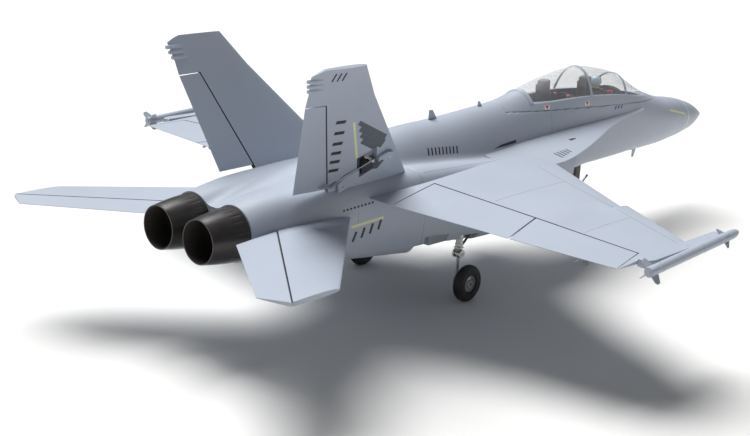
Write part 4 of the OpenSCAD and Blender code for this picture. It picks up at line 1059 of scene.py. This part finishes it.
for side, name in SIDES:
    outer = [(40 + 0.2, 0.2), (40.7, 1.2), (40.8, 6), (40.75, 6.8), (40.2, 7.4)]
    outer += [(39.5 + 0.7 * (1 - u) ** 0.8 - (39.5 - 33.5) * u**1.6, 8 + 56.5 * u) for u in steps(0, 1,
        12)] + [(33.3, 66)]
    inner = [(31.6, 66), (31.5, 65)] + [(31.5, 54)] + [(31.5 + 6 * u, 54 - 34 * u) for u in steps(0, 1,
        8)[1:]] + [(35.9, 12), (35.9, 0.2)]
    profile = outer + inner + [outer[0]]
    body = Shape().lathe((-625, side * FAN_Y, FAN_Z), (-1, 0, 0), profile, 192, paints=lambda j, i,
        n=len(outer): 1 if j >= n else 0, wave=petals)
    piece(body.object(f"nozzle_{name}", [finishes["nozzle"], finishes["bore"]], 25), "airframe",
        "black_nozzle", *(["exhaust_nozzles"] if side == 1 else []))

# %% [markdown]
# The rails sit on the wing tips. The pylons and their stores hang below the wings.

# %% Rails, pylons and missiles
STORES = [[225, 128, 18], [320, 110, 16], [415, 92, 14]]


def missile(place, length, d, fin_h, nose_h):
    s = Shape(place)
    r = d / 2
    body = [(0.1, 0), (r * 0.55, 0), (r * 0.55, 1.5), (r * 0.9, 1.5), (r, 2.2)]
    for band in (0.1, 0.3, 0.55, 0.72):
        x = band * length + 4
        body += [(r, x), (r - 0.3, x + 0.1), (r - 0.3, x + 0.8), (r, x + 0.9)]
    body += [(r, length - 1.6 * d), (d * 0.46, length - d), (d * 0.40, length - 0.68 * d),
        (d * 0.34, length - 0.45 * d), (d * 0.26, length - 0.26 * d), (d * 0.16, length - 0.1 * d), (0.1,
        length)]
    s.lathe((0, 0, 0), (1, 0, 0), body, 40)
    for a in (45, 135, 225, 315):
        s.place = place @ Matrix.Rotation(math.radians(a), 4, "X")
        s.prism([(2, 0), (2, r + fin_h * 0.75), (5, r + fin_h), (fin_h * 0.9, r + fin_h), (fin_h * 1.5, r),
            (fin_h * 1.5, 0)][::-1], -0.6, 0.6, chamfer=0.2)
        x = length - 3.2 * d
        s.prism([(x, 0), (x, r + nose_h), (x + 3, r + nose_h), (x + nose_h * 1.5, r),
            (x + nose_h * 1.5, 0)][::-1], -0.6, 0.6, chamfer=0.2)
    s.place = place
    return s


rail = Shape(WING_PLANE)
rail.prism([(-24, 513), (186, 513), (200, 525), (182, 533), (-12, 533), (-24, 529)], -6.5, 6.5, chamfer=1.3)
rail.prism([(-8, 532.5), (162, 532.5), (162, 538.5), (-8, 538.5)], -3, 3, chamfer=0.6)
for x in (20, 90, 150):
    rail.lathe((x, 525, 6.4), (0, 0, 1), [(0.1, 0), (1.8, 0), (1.7, 0.4), (0.9, 0.5), (0.1, 0.3)], 18)
tip_missile = missile(WING_PLANE @ Matrix.Translation((-50, 546, 0)) @ Matrix.Rotation(math.radians(-3), 4,
    "Y"), 250, 15, 13, 9)
pylons, stores = Shape(WING_PLANE), []
for y, x, deep in STORES:
    z = -3.6 - deep
    pylons.prism([(x - 70, z), (x - 80, z + 6), (x - 80, z + deep), (x, z + deep), (x + 16, z + deep - 8),
        (x + 4, z)][::-1], y - 3, y + 3, plane="xz", chamfer=0.7)
    stores.append(missile(WING_PLANE @ Matrix.Translation((x - 112, y, z - 5.8)), 155, 12, 10, 7))
under = Shape()
for s in stores:
    first = len(under.points)
    under.points += s.points
    under.faces += [[first + i for i in f] for f in s.faces]
    under.paints += s.paints
# The missiles under the wings take the darker copy of the foam paint, a painted shade.
for side, name in SIDES:
    for shape, label, node, skin in ((rail, "tip_rail", "tip_rails", paint),
        (tip_missile, "tip_missile", "tip_missiles", paint),
            (pylons, "pylons", "wing_pylons", paint), (under, "wing_missiles", "wing_missiles", painted_shade_paint)):
        made = handed(shape, side).object(f"{label}_{name}", [skin])
        piece(made, "airframe", "grey_foam", *([node] if side == 1 else []))
print("missiles per side:", 1 + len(STORES))

# %% [markdown]
# ## Landing gear
# The wheels have soft tyres with a raised tread and turned hubs. Each main leg is a
# polished strut with a clamp, a forked knuckle and a dark folding brace.

# %% Wheels
MAIN_WHEEL_AT, MAIN_WHEEL_D, MAIN_WHEEL_W, MAIN_HUB_D = (-161, 120, 31.5), 63, 19, 27.72
NOSE_WHEEL_AT, NOSE_WHEEL_D, NOSE_WHEEL_W, NOSE_HUB_D = (315, 12, 23.5), 47, 11, 20.68


def tyre(at, d, w, bore):
    r, b = d / 2, bore / 2
    side = [(b, -w * 0.36), (b + 1.2, -w / 2 + 1.6), (b + 2, -w / 2 + 0.4), (r - w * 0.45, -w / 2),
        (r - w * 0.3, -w * 0.475), (r - w * 0.2, -w * 0.42), (r - w * 0.1, -w * 0.33)]
    tread = [(r - w * 0.05, -w * 0.25), (r - 0.12, -w * 0.13), (r - 0.6, -w * 0.11), (r - 0.6, -w * 0.07),
        (r - 0.02, -w * 0.05)]
    half = side + tread
    profile = half + [(a, -h) for a, h in reversed(half)]
    return Shape().lathe(at, (0, 1, 0), profile + [profile[0]], 96)


def hub(at, d, w, out):
    a = 2.06
    half = [(a, -w * 0.42), (d * 0.2, -w * 0.42), (d * 0.22, -w * 0.38), (d * 0.24, -w * 0.2),
        (d * 0.3, -w * 0.165), (d * 0.4, -w * 0.16), (d * 0.43, -w * 0.22), (d * 0.44,
        -w * 0.35), (d / 2 - 0.3, -w * 0.35), (d / 2, -w * 0.33)]
    profile = half + [(p, -h) for p, h in reversed(half)]
    s = Shape().lathe(at, (0, 1, 0), profile + [profile[0]], 72)
    for i in range(6):
        t = 2 * math.pi * i / 6
        spot_at = Vector(at) + Vector((math.cos(t), 0, math.sin(t))) * d * 0.33 + Vector((0,
            out * w * 0.155, 0))
        s.lathe(spot_at, (0, out, 0), [(0.1, 0), (1.3, 0), (1.3, 0.9), (0.8, 1.2), (0.1, 1.2)], 16)
    return s


def wheel(side, name, at, d, w, bore, label, body, tyres, hubs):
    spot = (at[0], side * at[1], at[2])
    piece(tyre(spot, d, w, bore).object(f"{label}tyre_{name}", [finishes["rubber"]]), body, "black_rubber",
        *tyres)
    piece(hub(spot, bore, w, side).object(f"{label}hub_{name}", [finishes["metal"]]), body,
        "machined_metal", *hubs)


for side, name in SIDES:
    rides = f"main_wheel_{name}"
    wheel(side, name, MAIN_WHEEL_AT, MAIN_WHEEL_D, MAIN_WHEEL_W, MAIN_HUB_D, "", rides,
        [f"main_tyre_{name}"], [f"main_hub_{name}"])
    cap = [(0.1, 0), (3.4, 0), (3.4, 0.6), (2.4, 0.9), (0.1, 0.9)]
    caps = Shape().lathe((-161, side * 127.4, 31.5), (0, side, 0), cap, 6)
    piece(caps.object(f"hub_cap_{name}", [finishes["dark_metal"]]), rides, "machined_metal")
    first = side == 1
    wheel(side, name, NOSE_WHEEL_AT, NOSE_WHEEL_D, NOSE_WHEEL_W, NOSE_HUB_D, "nose_", "nose_wheels",
        ["nose_tyres"] if first else [], ["nose_hubs"] if first else [])
print("main tyre", MAIN_WHEEL_D, "mm, nose tyre", NOSE_WHEEL_D, "mm")

# %% [markdown]
# The main leg turns on a trunnion that leans with the fold axis. The clamp and the brace ride
# on the leg.

# %% Main legs
LEG_PLACE = Matrix.Translation((-161, 97, 0))
leg = Shape(LEG_PLACE)
TRUNNION = Vector((0, math.cos(math.radians(20)), math.sin(math.radians(20))))
leg.lathe(Vector((0, 0, 118)) + TRUNNION * 8, -TRUNNION,
    [(0.1, 0), (6.2, 0), (7, 0.7), (7, 15.3), (6.2, 16), (0.1, 16)], 40)
leg.lathe((0, 0, 117), (0, 0, -1),
    [(0.1, 0), (6, 0), (6, 9), (5.4, 9.6), (5.4, 11), (6, 11.6), (6, 24), (5.5, 24.6), (5.5, 26), (6, 26.6),
    (6, 34), (5.4, 36), (0.1, 36)], 40)
for s in (1, -1):
    leg.lathe((0, s * 3.2, 78), (0, s, 0),
        [(2.05, 0), (7, 0), (7.5, 0.5), (7.5, 4.3), (7, 4.8), (3.6, 4.8), (3.4, 4.3), (2.05, 4.3),
        (2.05, 0)], 40)
leg.prism([(-6, -6), (6, -6), (6, 6), (-6, 6)], 87.6, 90, chamfer=0.5)
clamp = Shape(LEG_PLACE).lathe((0, 0, 92), (0, 0, 1),
    [(5.9, 0), (6.9, 0.3), (6.9, 4.2), (5.9, 4.5), (5.9, 0)], 40)
clamp.lathe((-6.4, 0, 94.2), (-1, 0, 0), [(0.1, 0), (1.6, 0), (1.6, 1.6), (0.1, 1.6)], 6)
brace = Shape(LEG_PLACE)
brace.tube([(4, 0, 114), (26, 0, 104)], 2.25, 20)
brace.tube([(26, 0, 106), (6, 0, 90)], 2.0, 20)
brace.lathe((26, -2.9, 105), (0, 1, 0), [(0.1, 0), (3.2, 0), (3.2, 5.8), (0.1, 5.8)], 20)
for side, name in SIDES:
    for shape, label, skin, nodes in ((leg, "main_strut", "metal", [f"main_leg_{name}"]),
            (clamp, "strut_clamp", "white", []), (brace, "main_brace", "dark_metal", [])):
        made = handed(shape, side).object(f"{label}_{name}", [finishes[skin]])
        piece(made, f"main_leg_{name}", "machined_metal", *nodes)
print("main legs made:", len(SIDES))

# %% [markdown]
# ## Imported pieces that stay
# Small exact pieces, such as servos, rods, tubes and fans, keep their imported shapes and
# only get a finish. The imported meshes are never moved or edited.

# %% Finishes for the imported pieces
KEPT = {
    "belly_cover": "foam", "antennas": "foam", "cover_screws": "bright", "spar_tubes": "carbon", "thrust_tubes": "tube",
    "fan_housings": "case", "fan_motors": "motor", "speed_controllers": "motor", "battery": "wrap", "receiver": "case",
    "servos": "case", "retract_units": "case", "rudder_arm_left": "white", "rudder_arm_right": "white",
    "rudder_rod_left": "bright", "rudder_rod_right": "bright", "fan_rotor_left": "case", "fan_rotor_right": "case",
    "main_link_left": "metal", "main_link_right": "metal", "nose_leg": "dark_metal", "nose_fork": "metal"}
for node, key in KEPT.items():
    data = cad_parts[node].data
    data.materials.clear()
    data.materials.append(paint if key == "foam" else finishes[key])
print("packed pieces kept:", len(KEPT))

# %% [markdown]
# ## Marks and panel lines
# Marks are thin closed patches. Each grid point is dropped onto the moulding below it, so a
# mark follows the curve of the surface. Crests, words and numbers are plain bars here.

# %% Patch tools
def tree_of(*names):
    points, faces = [], []
    for name in names:
        mesh = bpy.data.objects[name].data
        base = len(points)
        points += [v.co.copy() for v in mesh.vertices]
        faces += [[base + i for i in p.vertices] for p in mesh.polygons]
    return BVHTree.FromPolygons(points, faces)


def dropped(tree, point, toward):
    spot, normal, _, _ = tree.ray_cast((Vector(point) - toward * 60) * MM, toward)
    return (spot / MM, normal) if spot else None


def patch(shape, tree, corners, toward, cells=(6, 3), lift=0.15, paint=0):
    toward = Vector(toward).normalized()
    a, b, c, d = [Vector(p) for p in corners]
    nu, nv = cells
    over, under = [], []
    for i in range(nu + 1):
        for j in range(nv + 1):
            u, v = i / nu, j / nv
            found = dropped(tree, (a * (1 - u) + b * u) * (1 - v) + (d * (1 - u) + c * u) * v, toward)
            if not found:
                return shape
            over.append(found[0] + found[1] * lift)
            under.append(found[0] - found[1] * 0.4)
    n = (nu + 1) * (nv + 1)
    at = lambda i, j: i * (nv + 1) + j
    faces = []
    for i in range(nu):
        for j in range(nv):
            quad = [at(i, j), at(i + 1, j), at(i + 1, j + 1), at(i, j + 1)]
            faces += [quad, [n + k for k in reversed(quad)]]
    rim = [at(i, 0) for i in range(nu + 1)] + [at(nu, j) for j in range(1, nv + 1)]
    rim += [at(i, nv) for i in range(nu - 1, -1, -1)] + [at(0, j) for j in range(nv - 1, 0, -1)]
    faces += [[rim[k], n + rim[k], n + rim[(k + 1) % len(rim)],
        rim[(k + 1) % len(rim)]] for k in range(len(rim))]
    return shape.add(over + under, faces, paint)


def stripe(shape, tree, start, end, width, toward, lift=0.15, paint=0):
    start, end, toward = Vector(start), Vector(end), Vector(toward).normalized()
    side = (end - start).cross(toward).normalized() * (width / 2)
    cells = (max(2, round((end - start).length / 9)), 1)
    return patch(shape, tree, [start - side, end - side, end + side, start + side], toward, cells, lift, paint)


def across(point, side):
    return Vector((point[0], point[1] * -side, point[2]))


print("patch tools ready")

# %% [markdown]
# Each side gets pale strips, dark bars and slate bars, dropped onto its mouldings.

# %% Marks on the mouldings
FIN_IN = (0, 0.934, 0.358)
SIDE_IN = (0, 1, 0)
TOP_IN = (0, 0, -1)
SHOULDER_IN = (0, 0.87, -0.5)


def side_marks(side):
    name = "left" if side == 1 else "right"
    flip = lambda *points: [across(p, side) for p in points]
    fin, body = tree_of(f"fin_skin_{name}"), tree_of("forward_hull", "nose_shell", "centre_hull", "aft_hull")
    lights, dark, slate = Shape(), Shape(), Shape()
    fin_in, side_in = across(FIN_IN, side), across(SIDE_IN, side)
    stripe(lights, fin, *flip((-471, -127.5, 348.4), (-434.3, -103.6, 283.8)), 4.5, fin_in)
    stripe(lights, body, *flip((-434, -100.2, 174.8), (-367, -105.2, 180.1)), 4.5, side_in)
    stripe(lights, body, *flip((584, -38, 225), (655, -34, 208)), 4.5, across((0, 0.9, -0.35), side))
    # Feather bars on the fin, in place of a crest
    for k, (length, drop) in enumerate(((96, 0), (88, 11), (74, 22), (52, 33))):
        start = (-459 + 7 * k, -126.5 + drop * 0.36, 346 - drop)
        stripe(slate, fin, *flip(start,
            (start[0] + length * 0.8, start[1] + length * 0.12, start[2] - length * 0.36)), 7.5, fin_in)
    # A wide slate bar over the rudder servo pocket.
    stripe(slate, fin, *flip((-425, -100, 272), (-375, -98, 268)), 15, fin_in)
    # Stacked bars where squadron letters would sit
    for z in (352, 334, 316, 300, 285, 270):
        y = -93.5 - (z - 262) * 0.383
        stripe(dark, fin, *flip((-509 + (352 - z) * 0.27, y, z), (-489 + (352 - z) * 0.27, y, z)), 5.5, fin_in)
    for x in (-548, -538, -528):
        stripe(dark, fin, *flip((x, -152, 420), (x + 4, -156.5, 432)), 3, fin_in)
    # Bars on the rear of the body
    for k in range(4):
        x = -428 + 17 * k
        stripe(dark, body, *flip((x, -98, 150 + 4 * k), (x + 5, -102, 166 + 4 * k)), 4.5, side_in)
    for k in range(9):
        x = -452 + 7.5 * k
        stripe(dark, body, *flip((x, -100, 203 + k * 0.5), (x + 4, -100, 203.4 + k * 0.5)), 3, side_in)
    shoulder = across(SHOULDER_IN, side)
    for k in range(9):
        x = -200 + 9 * k
        stripe(dark, body, *flip((x, -46, 255 - k * 0.9), (x - 3, -52, 244 - k * 0.9)), 3.2, shoulder)
    patch(dark, body, flip((-30, -54, 231), (36, -52, 233), (36, -52, 239), (-8, -53, 236)), shoulder, (6, 2))
    strake_top = tree_of(f"strake_{name}")
    patch(dark, strake_top, flip((148, -87, 232), (166, -89, 232), (166, -92, 232), (148, -94, 232)),
        TOP_IN, (3, 2))
    for k in range(5):
        stripe(slate, strake_top, *flip((64 + 9 * k, -116, 222), (64 + 9 * k, -136 + 2 * k, 222)), 4, TOP_IN)
    piece(lights.object(f"glow_strips_{name}", [finishes["pale_yellow"]]), "airframe", "grey_foam")
    piece(dark.object(f"dark_marks_{name}", [finishes["ink"]]), "airframe", "grey_foam")
    piece(slate.object(f"slate_marks_{name}", [finishes["line"]]), "airframe", "grey_foam")
    return len(lights.faces) + len(dark.faces) + len(slate.faces)


print("faces in the marks:", [side_marks(side) for side in (1, -1)])

# %% [markdown]
# Small warning marks and blue stripes sit below the canopy and lift off with the hatch.

# %% Warning triangles and slanted stripes by the cockpit
def warning_marks(side):
    name = "left" if side == 1 else "right"
    hatch, body = tree_of("hatch_moulding"), tree_of("forward_hull", "centre_hull")
    toward = across((0, 0.93, -0.3), side)
    white, red, blue = Shape(), Shape(), Shape()
    flip = lambda *points: [across(p, side) for p in points]
    for x, z in ((138, 286), (261, 279)):
        patch(white, hatch, flip((x - 7, -50, z - 4), (x + 7, -50, z - 4), (x + 7, -50, z + 4.5),
            (x - 7, -50, z + 4.5)), toward, (3, 3))
        patch(red, hatch, flip((x - 5, -50, z + 3.5), (x + 5, -50, z + 3.5), (x + 0.6, -50, z - 3),
            (x - 0.6, -50, z - 3)), toward, (3, 3), 0.3)
    for k in range(3):
        patch(blue, hatch, flip((353 + 11 * k, -50, 256), (358 + 11 * k, -50, 256),
            (367 + 11 * k, -50, 269), (362 + 11 * k, -50, 269)), toward, (2, 4))
        patch(blue, body, flip((353 + 11 * k, -50, 256), (358 + 11 * k, -50, 256), (367 + 11 * k, -50, 269),
            (362 + 11 * k, -50, 269)), toward, (2, 4))
    made = 0
    for shape, label, skin in ((white, "white_warnings", "white_film"), (red, "red_warnings", "red"),
            (blue, "blue_stripes", "blue")):
        if shape.faces:
            piece(shape.object(f"{label}_{name}", [finishes[skin]]), "hatch", "grey_foam")
            made += 1
    return made


print("warning marks:", [warning_marks(side) for side in (1, -1)])

# %% [markdown]
# Panel lines are narrow patches in a soft grey.

# %% Panel lines on the wings and the body
def panel_lines(side):
    name = "left" if side == 1 else "right"
    wing, body = tree_of(f"wing_skin_{name}"), tree_of("forward_hull", "nose_shell", "centre_hull", "aft_hull")
    lines = Shape()
    on_wing = lambda share, v, front: across(tuple(WING_PLANE @ Vector((share * front, v, 0))), -side)
    fronts = {150: 297, 250: 247, 356: 196, 430: 157, 505: 117.7}
    spots = [on_wing(0.78, v, fronts[v]) for v in (150, 250, 356, 430, 505)]
    for a, b in zip(spots, spots[1:]):
        stripe(lines, wing, a, b, 1.1, TOP_IN, 0.08)
    stripe(lines, wing, on_wing(0.78, 356, 196), on_wing(0.99, 356, 196), 1.1, TOP_IN, 0.08)
    stripe(lines, wing, on_wing(0.05, 400, 173), on_wing(0.78, 400, 173), 0.8, TOP_IN, 0.08)
    stripe(lines, wing, on_wing(0.05, 230, 257), on_wing(0.78, 230, 257), 0.8, TOP_IN, 0.08)
    rises = [(-262, -92), (-180, -92), (-100, -90), (-20, -84), (50, -76)]
    for a, b in zip(rises, rises[1:]):
        stripe(lines, body, across((a[0], a[1], 230), side), across((b[0], b[1], 230), side), 0.8, TOP_IN, 0.08)
    for x in (-300, -420, 600):
        stripe(lines, body, across((x, -60, 215), side), across((x, -60, 175), side), 0.8,
            across(SIDE_IN, side), 0.08)
    piece(lines.object(f"panel_lines_{name}", [finishes["soft_line"]]), "airframe", "grey_foam")
    return len(lines.faces)


print("faces in the panel lines:", [panel_lines(side) for side in (1, -1)])

# %% [markdown]
# A thin light ring runs round the nose, just behind its tip.

# %% Ring behind the nose tip
def nose_ring(x, width, sides=72):
    tree = tree_of("nose_shell")
    rows = []
    for dx, lift in ((-width / 2, -0.4), (-width / 2, 0.2), (width / 2, 0.2), (width / 2, -0.4)):
        row = []
        for k in range(sides):
            a = 2 * math.pi * k / sides
            away = Vector((0, math.cos(a), math.sin(a)))
            found = dropped(tree, Vector((x + dx, 0, 190)) + away * 20, -away)
            row.append(found[0] + away * lift)
        rows.append(row)
    return Shape().loft(rows, loop=True)


piece(nose_ring(674, 2.2).object("nose_ring", [finishes["white_film"]]), "airframe", "grey_foam")
print("nose ring at 674 mm")

# %% [markdown]
# ## Floor, light and camera
# The model stands on a pale seamless floor. One broad soft sun lamp shines from above, a
# little ahead and from the far side, and a dim even sky does the rest.

# %% Studio
SKY_POWER = 0.16
SUN_POWER, SUN_WIDTH, SUN_FROM = 4.3, 42, (0.1, 0.5, 1.0)


def studio():
    f = Finish("studio_floor", Roughness=0.9, Specular_IOR_Level=0.1)
    f.set("Base Color", f.blend(f.noise(2.0), (0.80, 0.795, 0.78, 1), (0.84, 0.835, 0.82, 1)))
    corners = [(-12000, -12000), (12000, -12000), (12000, 12000), (-12000, 12000)]
    floor = Shape().prism(corners, -20, 0).object("studio_floor", [f.material])
    world = bpy.data.worlds.new("studio_sky")
    bpy.context.scene.world = world
    world.use_nodes = True
    world.node_tree.nodes["Background"].inputs["Color"].default_value = (0.95, 0.97, 1.0, 1)
    world.node_tree.nodes["Background"].inputs["Strength"].default_value = SKY_POWER
    lamp = bpy.data.lights.new("overhead_softbox", "SUN")
    lamp.energy = SUN_POWER
    lamp.angle = math.radians(SUN_WIDTH)
    holder = bpy.data.objects.new("overhead_softbox", lamp)
    bpy.context.scene.collection.objects.link(holder)
    holder.rotation_euler = Vector(SUN_FROM).to_track_quat("Z", "Y").to_euler()
    bpy.context.scene.view_settings.view_transform = "Standard"


studio()
print("sun from", SUN_FROM)

# %% [markdown]
# The camera stands behind the right wing, above the tailplane, and looks forward.

# %% Camera
camera = bpy.data.cameras.new("camera")
camera.lens = 66.6
camera.sensor_width = 36
camera.clip_end = 60
eye = bpy.data.objects.new("camera", camera)
bpy.context.scene.collection.objects.link(eye)
right, up, ahead = Vector((0.67530, -0.73513, 0.05962)), Vector((0.17127, 0.23493,
    0.95681)), Vector((0.71738, 0.63592, -0.28455))
turn = Matrix((right, up, -ahead)).transposed().to_4x4()
eye.matrix_world = Matrix.Translation(Vector((-1920.2, -1464.3, 790.7)) * MM) @ turn
bpy.context.scene.camera = eye
print("camera at", [round(v, 3) for v in eye.location])
